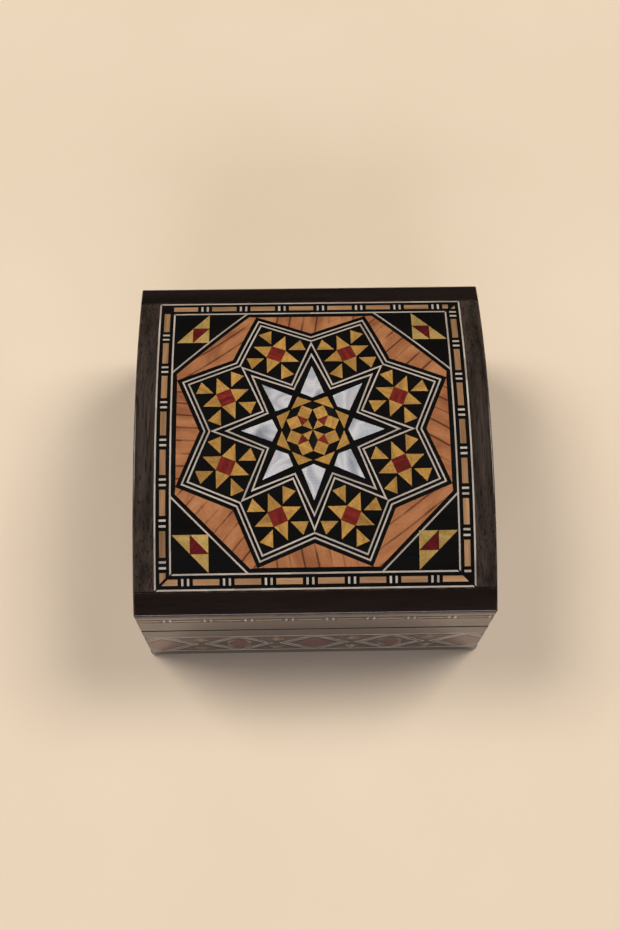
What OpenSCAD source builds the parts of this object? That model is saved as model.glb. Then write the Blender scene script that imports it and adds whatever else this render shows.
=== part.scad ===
// Inlaid puzzle box: a square wooden box with an arched, hinged lid covered in star marquetry.
// The front mosaic panel slides aside to bare a keyhole, and the key lies in a hidden drawer.
// Origin: centre of the underside. +Z up, front towards -Y. Millimetres.

/* [Box] */
// Outside width, left to right
box_w = 120; // [100:1:144]
// Outside depth, front to back
box_d = 120; // [100:1:144]
// Height of the top edge of the base
base_h = 38.6; // [37:0.1:60]
// Straight height of the lid at its front edge
lid_side_h = 21; // [19:0.1:32]
// Rise of the arched top above the lid's front edge
arch_rise = 13.2; // [10:0.1:16]

/* [Seam and hinge] */
// Gap between the lid and the base
seam_gap = 0.4; // [0.3:0.05:0.6]
// Bevel along both edges of the seam
seam_bevel = 0.5; // [0.3:0.05:0.8]
// Length of each hinge
hinge_len = 18; // [14:0.5:22]
// Distance from the middle of the box to each hinge
hinge_x = 34; // [28:0.5:36]
// Outer radius of the hinge barrel
barrel_r = 1.5; // [1.3:0.05:1.8]
// Radius of the hinge pin
pin_r = 0.6; // [0.5:0.05:0.7]
// Thickness of the hinge leaves
leaf_t = 0.9; // [0.7:0.05:1.1]

/* [Walls] */
// Thickness of the base walls and of the lid rails
wall_t = 10; // [10:0.1:12]
// Thickness of the bottom board
bottom_t = 1.4; // [1.2:0.1:2.4]
// Thickness of the false bottom that hides the drawer
floor_t = 2; // [1.4:0.1:3]
// Thickness of the felt under the base
felt_t = 0.6; // [0.5:0.1:1]
// Thickness of the arched core of the lid
core_t = 4; // [3:0.1:5]
// Thickness of the marquetry laid on the lid
veneer_t = 1.5; // [1:0.1:1.8]
// Thickness of the mosaic bands on the base
band_t = 1.1; // [0.8:0.1:1.4]
// Thickness of the velvet on the inside walls
velvet_t = 0.8; // [0.6:0.1:1.2]
// Thickness of the padded floor cushion
pad_t = 2.2; // [1.6:0.1:3]

/* [Mosaic bands] */
// Height of the lower edge of the mosaic band
band_low = 6.4; // [6.2:0.1:8]
// Height of the mosaic band
band_h = 22.4; // [20:0.1:23.4]
// Height of the inlaid line round the lid above the lid's underside
line_up = 12.4; // [8:0.1:13]
// Width of the inlaid line round the lid
line_w = 3; // [2:0.1:4]
// Depth of the inlaid line
line_t = 0.8; // [0.6:0.1:1]

/* [Sliding front panel] */
// Travel of the front panel to the right
panel_travel = 68; // [60:1:72]
// Thickness of the panel, mosaic included
panel_t = 2.9; // [2.6:0.1:3.2]
// How far the panel's tongues reach into their grooves
tongue = 1.3; // [1:0.1:1.4]
// Clearance round the sliding panel
panel_play = 0.15; // [0.1:0.01:0.2]
// Radius of the stop peg
peg_r = 1; // [0.8:0.1:1.2]

/* [Key drawer] */
// Travel of the drawer to the left
drawer_travel = 36; // [24:1:40]
// Outside width of the drawer's tray
tray_w = 42; // [30:1:50]
// Outside length of the drawer's tray
tray_l = 48; // [44:1:60]
// Thickness of the tray's walls
tray_wall = 2; // [1.4:0.1:3]
// Thickness of the tray's floor
tray_floor = 0.8; // [0.6:0.1:1]
// Clearance round the drawer
drawer_play = 0.15; // [0.1:0.01:0.2]

/* [Lock] */
// Height of the keyhole
key_z = 25; // [23:0.1:26]
// Turning radius of the cam's lug
cam_r = 3; // [2.6:0.05:3.2]
// Radius of the cam's hub
hub_r = 1.8; // [1.6:0.05:1.9]
// Thickness of the lock's sheet metal
sheet_t = 0.7; // [0.6:0.05:0.9]
// Thickness of the bolt
bolt_t = 1.4; // [1.2:0.05:1.6]
// Radius of the keyhole's round end
keyhole_r = 1.4; // [1.2:0.05:1.6]

/* [Lid pattern] */
// Half the width of the frame at its outer white line
frame_half = 52.7; // [50:0.1:54]
// Distance from the outer to the inner white line of the frame
frame_w = 5.05; // [4:0.05:6]
// Width of one white line
string_w = 0.55; // [0.4:0.05:0.7]
// Width of the black line inside the frame and outside the star
black_w = 1.3; // [0.8:0.05:1.6]
// Tip radius of the star's outer white line
star_r = 47.4; // [44:0.1:48]
// Space between the star's two white lines
string_gap = 1.5; // [1.2:0.05:1.8]
// Radius to the inner corner of each star tile
tile_in_r = 18.3; // [17:0.1:20]
// Radius to the outer tip of each pearl kite
pearl_tip_r = 24.4; // [22:0.1:26]
// Edge length of the small mosaic pieces in the rosette
chip = 4; // [3.6:0.05:4.1]
// Distance from the centre to the diagonal line across each corner
diagonal_r = 49.3; // [48.9:0.1:52]

/* [Hidden] */
$fn = 64;
big = 400;
eps = 0.01;

// outside and inside faces
half_w = box_w / 2;
half_d = box_d / 2;
in_w = half_w - wall_t;
in_d = half_d - wall_t;
lid_z = base_h + seam_gap;
edge_z = lid_z + lid_side_h;

// the arch: one cylinder along X through the front and back top edges
arch_r = (half_d * half_d + arch_rise * arch_rise) / (2 * arch_rise);
arch_z = edge_z + arch_rise - arch_r;
// the lid's core sits in a seat this far inside the outline
core_inset = 2.5;
// the mosaic bands on the sides start this far behind the front
band_start = 4;
// the velvet stops this far short of the seam
velvet_short = 1;
// the felt stays this far inside the outline
felt_inset = 1;

// heights inside the base
board_top = felt_t + bottom_t;
strip_play = 0.1;
tray_bot = board_top + drawer_play;
tray_top = band_low - 0.2;
floor_bot = band_low + 0.2;
floor_top = floor_bot + floor_t;
pad_top = floor_top + pad_t;
pad_gap = 0.2;

// hinge axis, inside the outline at the back
groove_d = 2;
groove_h = 2.5;
hinge_y = half_d - groove_d;
hinge_z = base_h + seam_gap / 2;
hinge_end_room = 14;
hinge_at = min(hinge_x, half_w - hinge_len / 2 - hinge_end_room);
knuckle = hinge_len * 0.4;
knuckle_play = 0.15;
pin_play = 0.05;
barrel_play = 0.25;
leaf_d = 5.6;
leaf_gap = 0.2;
leaf_screw = [hinge_len * 0.3, -leaf_d * 0.62];
screw_r = 0.6;
screw_head_r = 1.2;
screw_len = 5;

// front panel and its channel
groove_play = 0.15;
chan_back = -half_d + panel_t + 0.1;
tongue_t = 1.3;
tongue_back = -half_d + panel_t;
slide = min(panel_travel, box_w - 50);
peg_x = half_w - 10;
peg_up = 1.2;
peg_in = 3;
slot_depth = 1.3;
slot_play = 0.15;
band_mid = band_low + band_h / 2;

// drawer
tray_hw = tray_w / 2;
front_t = 3.5;
runner_w = 3;
tray_x0 = -half_w + front_t;
tray_stop_gap = 0.3;

// key, lying on the floor of the tray
key_r = 1.1;
key_collar_r = 1.5;
key_len = 22;
key_from_front = 2;
bow_r = 6;
bow_t = 1.6;
bow_lobe_r = 1.7;
bit_w = 3.6;
bit_t = 1;

// lock, placed from its turning axis
lock_x = 0;
lock_depth = 5.8;
lock_y0 = -in_d - lock_depth;
lock_y1 = -in_d - 0.9;
bolt_travel = 2 * cam_r * sin(45);
bolt_y = -in_d - 2.8;
lock_play = 0.3;
bolt_bot = key_z + hub_r + lock_play;
nose_top = base_h - 4;
nose_bot = nose_top - 3;
stud_x = -3;
stud_r = 0.7;
stud_z = (bolt_bot + nose_top) / 2;
nose_x = 7;
staple_x = nose_x + 1;
staple_w = 2.4;
staple_d = 3;
// the bolt's plate stops short of the staple when it is thrown, and only its nose goes through
plate_x0 = stud_x - bolt_travel - stud_r - 1.2;
plate_x1 = staple_x - bolt_travel - lock_play;
notch_r = 1.05;
lug_r = 0.6;
journal_r = 1.2;
key_slot = [0.55, 2.2, 1.3];
// the staple swings forward a little as the lid starts to lift
staple_swing = 0.4;
eye_w = 2;
eye_play = 0.4;
eye_bot = nose_bot - eye_play;
eye_top = nose_top + eye_play;
staple_bot = eye_bot - 1.3;
staple_foot = 6;
staple_foot_d = 5;
staple_screw = 3.4;
case_x0 = plate_x0 - 0.6;
case_x1 = staple_x + staple_w + 2.4;
case_z0 = key_z - cam_r - 1;
flange = 3.2;
lock_screw_up = 3;
selvedge_t = 0.9;
selvedge_d = 6;
back_plate_t = -in_d - lock_y1;

// escutcheon let in round the keyhole
escutcheon_w = 8;
escutcheon_t = 0.6;
escutcheon_z0 = key_z - 6.5;
escutcheon_z1 = min(key_z + 3.6, band_low + band_h - 0.1);
keyhole_slot_w = 1.2;
keyhole_slot_h = keyhole_r + 2.2;

// the lid pattern in two coordinates: x across, s along the arch
// lengths along the arch are stretched by a little, as on the real curve
stretch = 1.012;
edge_strip = 7.3;
span = half_w - edge_strip;
pat = min(1, span / frame_half, (arch_r * asin(half_d / arch_r) * PI / 180 - 8.4) / (frame_half * stretch));

line_half = string_w / 2;
ring_out = frame_half + line_half;
ring_in = frame_half - frame_w - line_half;
tip_out = star_r + (line_half + black_w) * sqrt(2);
valley = sin(45) / sin(67.5);
oct_r = chip * (1 + sqrt(2)) / cos(22.5);

function y_of(s) = arch_r * sin(s * 180 / (PI * arch_r));
function lay(p) = [p[0] * pat, y_of(p[1] * pat * stretch)];
function polar(r, a) = [r * cos(a), r * sin(a)];
function octagram(r) = [for (k = [0:15]) polar(k % 2 == 0 ? r : r * valley, 22.5 * (k + 1))];
function turned(points, a) = [for (p = points)
    let (c = round(cos(a)), s = round(sin(a))) [p[0] * c - p[1] * s, p[0] * s + p[1] * c]];
function along(p, q, t) = p + (q - p) * t;

// plan of the frame's edges
fx = ring_out * pat;
fy = y_of(ring_out * pat * stretch);
gx = ring_in * pat;
gy = y_of(ring_in * pat * stretch);

// outlines of the pieces inside the frame; a wedge of black parts the fields' tips
tip_part = 0.5;
field_edge = ring_in - black_w;
cut = (diagonal_r - line_half - black_w) * sqrt(2) - field_edge;
side_field = [polar(tip_out, 67.5 + tip_part), polar(tip_out * valley, 90), polar(tip_out, 112.5 - tip_part)];
corner_field = [polar(tip_out, 22.5 + tip_part), [field_edge, cut], [cut, field_edge],
                polar(tip_out, 67.5 - tip_part), polar(tip_out * valley, 45)];
far_cut = (diagonal_r + line_half) * sqrt(2) - ring_in;
corner_panel = [[ring_in, far_cut], [ring_in, ring_in], [far_cut, ring_in]];
// the tiles keep this clear of the strings, and their sides stop short of the valleys
tile_gap = 0.1;
tile_reach = 0.965;
tile_tip = star_r - (string_gap + line_half + tile_gap) * sqrt(2);
function tile_edge(a, side) = along(polar(tile_tip, a), polar(tile_tip * valley, a + side * 22.5), tile_reach);
function tile(a) = [polar(tile_tip, a), tile_edge(a, 1), polar(tile_in_r + line_half, a), tile_edge(a, -1)];
kite_side_r = 15.7;
kite_side_a = 14.4;
kite_in_r = 13.5;
function kite(a) = [polar(pearl_tip_r, a), polar(kite_side_r, a + kite_side_a),
                    polar(kite_in_r, a), polar(kite_side_r, a - kite_side_a)];
rosette = octagram(oct_r / valley - 0.3);

// ---------------------------------------------------------------- helpers
module block(a, b) {
    translate(a) cube(b - a);
}
module cyl_x(r, x0, x1) {
    translate([x0, 0, 0]) rotate([0, 90, 0]) cylinder(r = r, h = x1 - x0);
}
module cyl_y(r, y0, y1) {
    translate([0, y0, 0]) rotate([-90, 0, 0]) cylinder(r = r, h = y1 - y0);
}
// everything under an arch that lies `down` below the lid's top surface
module under_arch(down) {
    intersection() {
        translate([0, 0, arch_z]) cyl_x(arch_r - down, -big, big);
        block([-big, -half_d - 20, lid_z - 5], [big, half_d + 20, edge_z + arch_rise + 5]);
    }
}
module arch_shell(down, up = 0) {
    difference() {
        under_arch(up);
        translate([0, 0, arch_z]) cyl_x(arch_r - down, -big, big);
    }
}
// marquetry: its plan outlines, cut from the veneer along the arch
module inlay() {
    intersection() {
        translate([0, 0, lid_z]) linear_extrude(lid_side_h + arch_rise + 5) children();
        arch_shell(veneer_t);
    }
}
module seam_bevels(z, up) {
    b = seam_bevel;
    for (a = [0:90:270]) {
        w = a % 180 == 0 ? half_d : half_w;
        l = a % 180 == 0 ? half_w : half_d;
        rotate([0, 0, a])
            translate([-l - 1, -w, z]) rotate([0, 90, 0])
                linear_extrude(2 * l + 2) polygon([[0, -eps], [0, b], [-up * b, -eps]]);
    }
}
module hinge_groove(z, up) {
    translate([-half_w - 1, hinge_y, z]) rotate([90, 0, 90])
        linear_extrude(box_w + 2)
            polygon([[0, -up], [groove_d + 1, -up], [groove_d + 1, up * groove_h * 1.5], [0, 0]]);
}
module at_hinges() {
    for (s = [-1, 1]) translate([s * hinge_at, hinge_y, hinge_z]) children();
}
module hinge_gain(up) {
    at_hinges() {
        cyl_x(barrel_r + barrel_play, -hinge_len / 2 - leaf_gap, hinge_len / 2 + leaf_gap);
        deep = seam_gap / 2 + leaf_t;
        block([-hinge_len / 2, -leaf_d, up > 0 ? 0 : -deep], [hinge_len / 2, 0, up > 0 ? deep : 0]);
    }
}
module at_leaf_screws(up) {
    for (s = [-1, 1])
        translate([s * leaf_screw[0], leaf_screw[1], up * seam_gap / 2])
            mirror([0, 0, up > 0 ? 0 : 1]) children();
}
module screw_holes(up) {
    at_hinges() at_leaf_screws(up) cylinder(r = screw_r, h = screw_len);
}
module screw() {
    cylinder(r1 = screw_head_r, r2 = screw_r, h = screw_head_r - screw_r);
    cylinder(r = screw_r, h = screw_len);
}

// ---------------------------------------------------------------- base
module band_recess() {
    for (s = [-1, 1])
        block([s > 0 ? half_w - band_t : -half_w - 1, -half_d + band_start, band_low],
              [s > 0 ? half_w + 1 : -half_w + band_t, half_d - band_t, band_low + band_h]);
    block([-half_w - 1, half_d - band_t, band_low], [half_w + 1, half_d + 1, band_low + band_h]);
}
module base_cuts() {
    seam_bevels(base_h, 1);
    band_recess();
}
module base_front_wall() {
    color("#4a3a34") difference() {
        block([-half_w, -half_d, felt_t], [half_w, -in_d, base_h]);
        base_cuts();
        // channel and grooves of the sliding panel
        block([-half_w - 1, -half_d - 1, band_low], [half_w + 1, chan_back, band_low + band_h]);
        block([-half_w - 1, tongue_back - tongue_t - groove_play, band_low - tongue - groove_play],
              [half_w + 1, chan_back, band_low + band_h + tongue + groove_play]);
        // mortise for the lock, its back plate and its selvedge
        block([case_x0 - sheet_t, lock_y0, case_z0 - sheet_t], [case_x1 + sheet_t, -in_d + 1, base_h + 1]);
        block([case_x0 - flange, lock_y1, case_z0 - sheet_t], [case_x1 + flange, -in_d + 1, base_h + 1]);
        block([case_x0 - flange, -in_d - selvedge_d, base_h - selvedge_t],
              [case_x1 + flange, -in_d + 1, base_h + 1]);
        // keyhole, and the escutcheon let in round it
        translate([lock_x, 0, key_z]) keyhole(chan_back - 1, lock_y0 + 1);
        block([-escutcheon_w / 2, chan_back - 1, escutcheon_z0],
              [escutcheon_w / 2, chan_back + escutcheon_t, escutcheon_z1]);
        // peg hole and screw holes
        translate([peg_x, 0, band_mid]) cyl_y(peg_r, chan_back - 1, chan_back + peg_in);
        lock_screw_places() cyl_y(screw_r, -screw_len, 1);
    }
}
module keyhole(y0, y1) {
    cyl_y(keyhole_r, y0, y1);
    block([-keyhole_slot_w / 2, y0, -keyhole_slot_h], [keyhole_slot_w / 2, y1, 0]);
}
module base_back_wall() {
    color("#4a3a34") difference() {
        block([-half_w, in_d, felt_t], [half_w, half_d, base_h]);
        base_cuts();
        hinge_groove(base_h, -1);
        hinge_gain(-1);
        screw_holes(-1);
    }
}
module side_wall() {
    difference() {
        block([-half_w, -in_d, felt_t], [-in_w, in_d, base_h]);
        base_cuts();
    }
}
module base_left_wall() {
    color("#4a3a34") difference() {
        side_wall();
        // the drawer's front takes the place of the strip under the band
        block([-half_w - 1, -half_d, felt_t - 1], [tray_x0 + strip_play, half_d, band_low + eps]);
        block([-half_w - 1, -tray_hw - drawer_play, board_top], [-in_w + 1, tray_hw + drawer_play, floor_bot]);
    }
}
module base_right_wall() {
    color("#4a3a34") mirror([1, 0, 0]) side_wall();
}
module bottom_board() {
    color("#7a5a3c") block([-in_w, -in_d, felt_t], [in_w, in_d, board_top]);
}
module false_bottom() {
    color("#7a5a3c") block([-in_w, -in_d, floor_bot], [in_w, in_d, floor_top]);
}
module base_felt() {
    color("#3a1c1e") difference() {
        block([-half_w + felt_inset, -half_d + felt_inset, 0],
              [half_w - felt_inset, half_d - felt_inset, felt_t]);
        // kept clear of the drawer's front
        block([-half_w, -half_d, -1], [tray_x0 + 0.5, half_d, felt_t + 1]);
    }
}
module drawer_runners() {
    color("#7a5a3c") {
        for (s = [-1, 1])
            block([-in_w, s > 0 ? tray_hw + drawer_play : -tray_hw - drawer_play - runner_w, board_top],
                  [in_w, s > 0 ? tray_hw + drawer_play + runner_w : -tray_hw - drawer_play, floor_bot]);
        stop_x = tray_x0 + tray_l + tray_stop_gap;
        block([stop_x, -tray_hw - drawer_play, board_top],
              [stop_x + runner_w, tray_hw + drawer_play, floor_bot]);
    }
}
module side_band(s) {
    block([s > 0 ? half_w - band_t : -half_w, -half_d + band_start, band_low],
          [s > 0 ? half_w : -half_w + band_t, half_d - band_t, band_low + band_h]);
}
module left_mosaic_band() {
    color("#8a6a48") side_band(-1);
}
module right_mosaic_band() {
    color("#8a6a48") side_band(1);
}
module back_mosaic_band() {
    color("#8a6a48") block([-half_w, half_d - band_t, band_low], [half_w, half_d, band_low + band_h]);
}
module base_velvet() {
    v_top = base_h - velvet_short;
    color("#7a1626") difference() {
        union() {
            for (s = [-1, 1]) {
                block([s > 0 ? in_w - velvet_t : -in_w, -in_d, floor_top],
                      [s > 0 ? in_w : -in_w + velvet_t, in_d, v_top]);
                block([-in_w + velvet_t, s > 0 ? in_d - velvet_t : -in_d, floor_top],
                      [in_w - velvet_t, s > 0 ? in_d : -in_d + velvet_t, v_top]);
            }
        }
        // the lock's back plate shows through a window
        block([case_x0 - flange - lock_play, -in_d - 1, case_z0 - sheet_t - lock_play],
              [case_x1 + flange + lock_play, -in_d + 2, base_h]);
    }
}
module floor_pad() {
    inside = velvet_t + pad_gap;
    color("#7a1626") block([-in_w + inside, -in_d + inside, floor_top],
                           [in_w - inside, in_d - inside, pad_top]);
}

// ---------------------------------------------------------------- hinges
module leaf(up) {
    z0 = up > 0 ? seam_gap / 2 : -seam_gap / 2 - leaf_t;
    back = barrel_r + leaf_gap;
    mine = up > 0 ? [[-knuckle / 2 + knuckle_play, knuckle / 2 - knuckle_play]]
                  : [[-hinge_len / 2, -knuckle / 2], [knuckle / 2, hinge_len / 2]];
    bore_r = up > 0 ? pin_r + pin_play : pin_r;
    difference() {
        union() {
            block([-hinge_len / 2, -leaf_d, z0], [hinge_len / 2, -back, z0 + leaf_t]);
            for (m = mine) {
                cyl_x(barrel_r, m[0], m[1]);
                block([m[0], -leaf_d, z0], [m[1], -barrel_r * 0.6, z0 + leaf_t]);
            }
        }
        cyl_x(bore_r, -hinge_len, hinge_len);
        at_leaf_screws(up) screw();
    }
}
module base_hinge_leaves() {
    color("#c9a24a") at_hinges() leaf(-1);
}
module lid_hinge_leaves() {
    color("#c9a24a") at_hinges() leaf(1);
}
module hinge_pins() {
    color("#b8923c") at_hinges() cyl_x(pin_r, -hinge_len / 2, hinge_len / 2);
}
module base_hinge_screws() {
    color("#d8b860") at_hinges() at_leaf_screws(-1) screw();
}
module lid_hinge_screws() {
    color("#d8b860") at_hinges() at_leaf_screws(1) screw();
}

// ---------------------------------------------------------------- lock
module lock_screw_places() {
    for (x = [case_x0 - flange + screw_head_r, case_x1 + flange - screw_head_r])
        translate([x, lock_y1, case_z0 + lock_screw_up]) children();
}
module lock_case() {
    color("#b8923c") difference() {
        union() {
            block([case_x0 - sheet_t, lock_y0, case_z0 - sheet_t], [case_x1 + sheet_t, lock_y1, base_h]);
            block([case_x0 - flange, -in_d - selvedge_d, base_h - selvedge_t],
                  [case_x1 + flange, -in_d, base_h]);
        }
        block([case_x0, lock_y0 + sheet_t, case_z0], [case_x1, lock_y1 + 1, base_h - selvedge_t]);
        block([case_x0 - flange - 1, lock_y1, 0], [case_x1 + flange + 1, 0, base_h - selvedge_t]);
        translate([lock_x, 0, key_z]) cyl_y(hub_r + pin_play, lock_y0 - 1, lock_y0 + 1);
        block([staple_x - lock_play, bolt_y - staple_d / 2 - lock_play - staple_swing, base_h - 2],
              [staple_x + staple_w + lock_play, bolt_y + staple_d / 2 + lock_play, base_h + 1]);
    }
    // stud that guides the bolt
    color("#b8923c") translate([stud_x, 0, stud_z]) cyl_y(stud_r, lock_y0 + sheet_t, lock_y1);
}
module lock_back_plate() {
    color("#c9a24a") difference() {
        block([case_x0 - flange, lock_y1, case_z0 - sheet_t], [case_x1 + flange, -in_d, base_h - selvedge_t]);
        translate([lock_x, 0, key_z]) cyl_y(journal_r + pin_play, lock_y1 - 1, -in_d + 1);
        lock_screw_places() translate([0, back_plate_t, 0]) rotate([90, 0, 0]) screw();
    }
}
module lock_screws() {
    color("#d8b860") lock_screw_places() translate([0, back_plate_t, 0]) rotate([90, 0, 0]) screw();
}
module lock_cam() {
    color("#d8b860") translate([lock_x, 0, key_z]) difference() {
        union() {
            cyl_y(hub_r, lock_y0, lock_y1 - 0.1);
            cyl_y(journal_r, lock_y1 - 0.2, -in_d);
            rotate([0, -45, 0]) {
                block([-lug_r, bolt_y - bolt_t / 2, 0], [lug_r, bolt_y + bolt_t / 2, cam_r]);
                translate([0, 0, cam_r]) cyl_y(lug_r, bolt_y - bolt_t / 2, bolt_y + bolt_t / 2);
            }
        }
        block([-key_slot[0], lock_y0 - 1, -key_slot[2]], [key_slot[0], lock_y0 + key_slot[1], key_slot[2]]);
    }
}
module lock_bolt() {
    notch_x = -bolt_travel / 2;
    notch_top = key_z + cam_r + lug_r + 0.25;
    color("#a8a49c") difference() {
        union() {
            block([plate_x0, bolt_y - bolt_t / 2, bolt_bot], [plate_x1, bolt_y + bolt_t / 2, nose_top]);
            block([plate_x1 - 1, bolt_y - bolt_t / 2, nose_bot], [nose_x, bolt_y + bolt_t / 2, nose_top]);
        }
        block([notch_x - notch_r, bolt_y - 2, bolt_bot - 1], [notch_x + notch_r, bolt_y + 2, notch_top]);
        block([stud_x - bolt_travel - stud_r - 0.15, bolt_y - 2, stud_z - stud_r - 0.1],
              [stud_x + stud_r + 0.15, bolt_y + 2, stud_z + stud_r + 0.1]);
    }
}
module escutcheon() {
    color("#c9a24a") difference() {
        block([-escutcheon_w / 2, chan_back, escutcheon_z0],
              [escutcheon_w / 2, chan_back + escutcheon_t, escutcheon_z1]);
        translate([lock_x, 0, key_z]) keyhole(chan_back - 1, chan_back + 2);
    }
}
module panel_stop_peg() {
    color("#c9a24a") translate([peg_x, 0, band_mid]) cyl_y(peg_r, chan_back - peg_up, chan_back + peg_in);
}

// ---------------------------------------------------------------- sliding front panel
module panel_board() {
    z0 = band_low + panel_play;
    z1 = band_low + band_h - panel_play;
    color("#6a4a30") difference() {
        union() {
            block([-half_w, -half_d + band_t, z0], [half_w, tongue_back, z1]);
            block([-half_w, tongue_back - tongue_t, z0 - tongue], [half_w, tongue_back, z1 + tongue]);
        }
        // blind slot that runs on the stop peg
        slot_r = peg_r + slot_play;
        block([peg_x - slide - slot_r, tongue_back - slot_depth, band_mid - slot_r],
              [peg_x + slot_r, tongue_back + 1, band_mid + slot_r]);
    }
}
module panel_mosaic() {
    color("#8a6a48") block([-half_w, -half_d, band_low + panel_play],
                           [half_w, -half_d + band_t, band_low + band_h - panel_play]);
}

// ---------------------------------------------------------------- hidden drawer and key
module drawer_front() {
    color("#4a3a34") block([-half_w, -in_d + strip_play, felt_t],
                           [tray_x0, in_d - strip_play, band_low - strip_play]);
}
module drawer_tray() {
    color("#7a5a3c") difference() {
        block([tray_x0, -tray_hw, tray_bot], [tray_x0 + tray_l, tray_hw, tray_top]);
        block([tray_x0 + tray_wall, -tray_hw + tray_wall, tray_bot + tray_floor],
              [tray_x0 + tray_l - tray_wall, tray_hw - tray_wall, tray_top + 1]);
    }
}
module box_key() {
    shank_end = 2 * bow_r + key_len;
    z = tray_bot + tray_floor + key_collar_r;
    color("#c9a24a") translate([tray_x0 + tray_wall + key_from_front, 0, z]) {
        // bow: a flat ring with a trefoil hole
        translate([bow_r, 0, -bow_t / 2]) difference() {
            cylinder(r = bow_r, h = bow_t);
            for (a = [0:120:240]) rotate([0, 0, a]) translate([2.2, 0, -1]) cylinder(r = bow_lobe_r, h = 4);
        }
        cyl_x(key_collar_r, 2 * bow_r - 0.6, 2 * bow_r + 1.6);
        cyl_x(key_r, 2 * bow_r - 0.8, shank_end);
        // bit with one ward cut
        difference() {
            block([shank_end - 5, 0, -bit_t / 2], [shank_end - 1, bit_w, bit_t / 2]);
            block([shank_end - 3.4, bit_w - 1.2, -1], [shank_end - 2.6, bit_w + 1, 1]);
        }
    }
}

// ---------------------------------------------------------------- lid frame
module lid_body(down) {
    difference() {
        intersection() {
            block([-half_w, -half_d, lid_z], [half_w, half_d, edge_z + arch_rise + 1]);
            under_arch(down);
        }
        seam_bevels(lid_z, -1);
        hinge_groove(lid_z, 1);
        lid_line_cuts();
        // seat of the arched core
        difference() {
            core_seat();
            under_arch(down + core_t);
        }
    }
}
module core_seat() {
    block([-half_w + core_inset, -half_d + core_inset, lid_z],
          [half_w - core_inset, half_d - core_inset, big]);
}
module lid_line_cuts() {
    z0 = lid_z + line_up;
    difference() {
        block([-half_w - 1, -half_d - 1, z0], [half_w + 1, half_d + 1, z0 + line_w]);
        block([-half_w + line_t, -half_d + line_t, z0 - 1],
              [half_w - line_t, half_d - line_t, z0 + line_w + 1]);
    }
}
module lid_front_rail() {
    color("#4a3a34") difference() {
        intersection() {
            lid_body(veneer_t);
            block([-half_w, -half_d, lid_z], [half_w, -in_d, big]);
        }
        staple_plate();
        staple_screw_places() cylinder(r = screw_r, h = screw_len);
    }
}
module lid_back_rail() {
    color("#4a3a34") difference() {
        intersection() {
            lid_body(veneer_t);
            block([-half_w, in_d, lid_z], [half_w, half_d, big]);
        }
        hinge_gain(1);
        screw_holes(1);
    }
}
module lid_left_end() {
    color("#4a3a34") intersection() {
        lid_body(veneer_t);
        block([-half_w, -in_d, lid_z], [-in_w, in_d, big]);
    }
}
module lid_right_end() {
    color("#4a3a34") intersection() {
        lid_body(veneer_t);
        block([in_w, -in_d, lid_z], [half_w, in_d, big]);
    }
}
module lid_core() {
    color("#7a5a3c") intersection() {
        arch_shell(veneer_t + core_t, veneer_t);
        core_seat();
    }
}
module lid_inlaid_lines() {
    z0 = lid_z + line_up;
    color("#ac8058") {
        for (s = [-1, 1]) {
            block([-half_w, s > 0 ? half_d - line_t : -half_d, z0],
                  [half_w, s > 0 ? half_d : -half_d + line_t, z0 + line_w]);
            block([s > 0 ? half_w - line_t : -half_w, -half_d + line_t, z0],
                  [s > 0 ? half_w : -half_w + line_t, half_d - line_t, z0 + line_w]);
        }
    }
}
// velvet on the inside of the four rails, up to the velvet of the ceiling
module lid_velvet() {
    color("#7a1626") intersection() {
        difference() {
            block([-in_w, -in_d, lid_z + velvet_short], [in_w, in_d, big]);
            block([-in_w + velvet_t, -in_d + velvet_t, 0], [in_w - velvet_t, in_d - velvet_t, big + 1]);
        }
        under_arch(veneer_t + core_t + velvet_t);
    }
}
module lid_ceiling_velvet() {
    color("#7a1626") intersection() {
        arch_shell(veneer_t + core_t + velvet_t, veneer_t + core_t);
        block([-in_w, -in_d, lid_z], [in_w, in_d, big]);
    }
}
module staple_plate() {
    block([staple_x - staple_foot, bolt_y - staple_foot_d / 2, lid_z],
          [staple_x + staple_w + staple_foot, bolt_y + staple_foot_d / 2, lid_z + selvedge_t]);
}
module staple_screw_places() {
    for (x = [staple_x - staple_screw, staple_x + staple_w + staple_screw])
        translate([x, bolt_y, lid_z]) children();
}
module lid_staple() {
    color("#c9a24a") difference() {
        union() {
            staple_plate();
            block([staple_x, bolt_y - staple_d / 2, staple_bot],
                  [staple_x + staple_w, bolt_y + staple_d / 2, lid_z + eps]);
        }
        block([staple_x - 1, bolt_y - eye_w / 2, eye_bot],
              [staple_x + staple_w + 1, bolt_y + eye_w / 2, eye_top]);
        staple_screw_places() screw();
    }
}
module staple_screws() {
    color("#d8b860") staple_screw_places() screw();
}

// ---------------------------------------------------------------- marquetry on the lid
module veneer_block(x0, x1, y0, y1) {
    inlay() translate([x0, y0]) square([x1 - x0, y1 - y0]);
}
module top_band_front() {
    color("#241a18") veneer_block(-half_w, half_w, -half_d, -fy);
}
module top_band_back() {
    color("#241a18") veneer_block(-half_w, half_w, fy, half_d);
}
module top_band_left() {
    color("#2f2826") veneer_block(-half_w, -fx, -fy, fy);
}
module top_band_right() {
    color("#2f2826") veneer_block(fx, half_w, -fy, fy);
}
module border_front() {
    color("#ac8058") veneer_block(-fx, fx, -fy, -gy);
}
module border_back() {
    color("#ac8058") veneer_block(-fx, fx, gy, fy);
}
module border_left() {
    color("#ac8058") veneer_block(-fx, -gx, -gy, gy);
}
module border_right() {
    color("#ac8058") veneer_block(gx, fx, -gy, gy);
}

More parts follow.
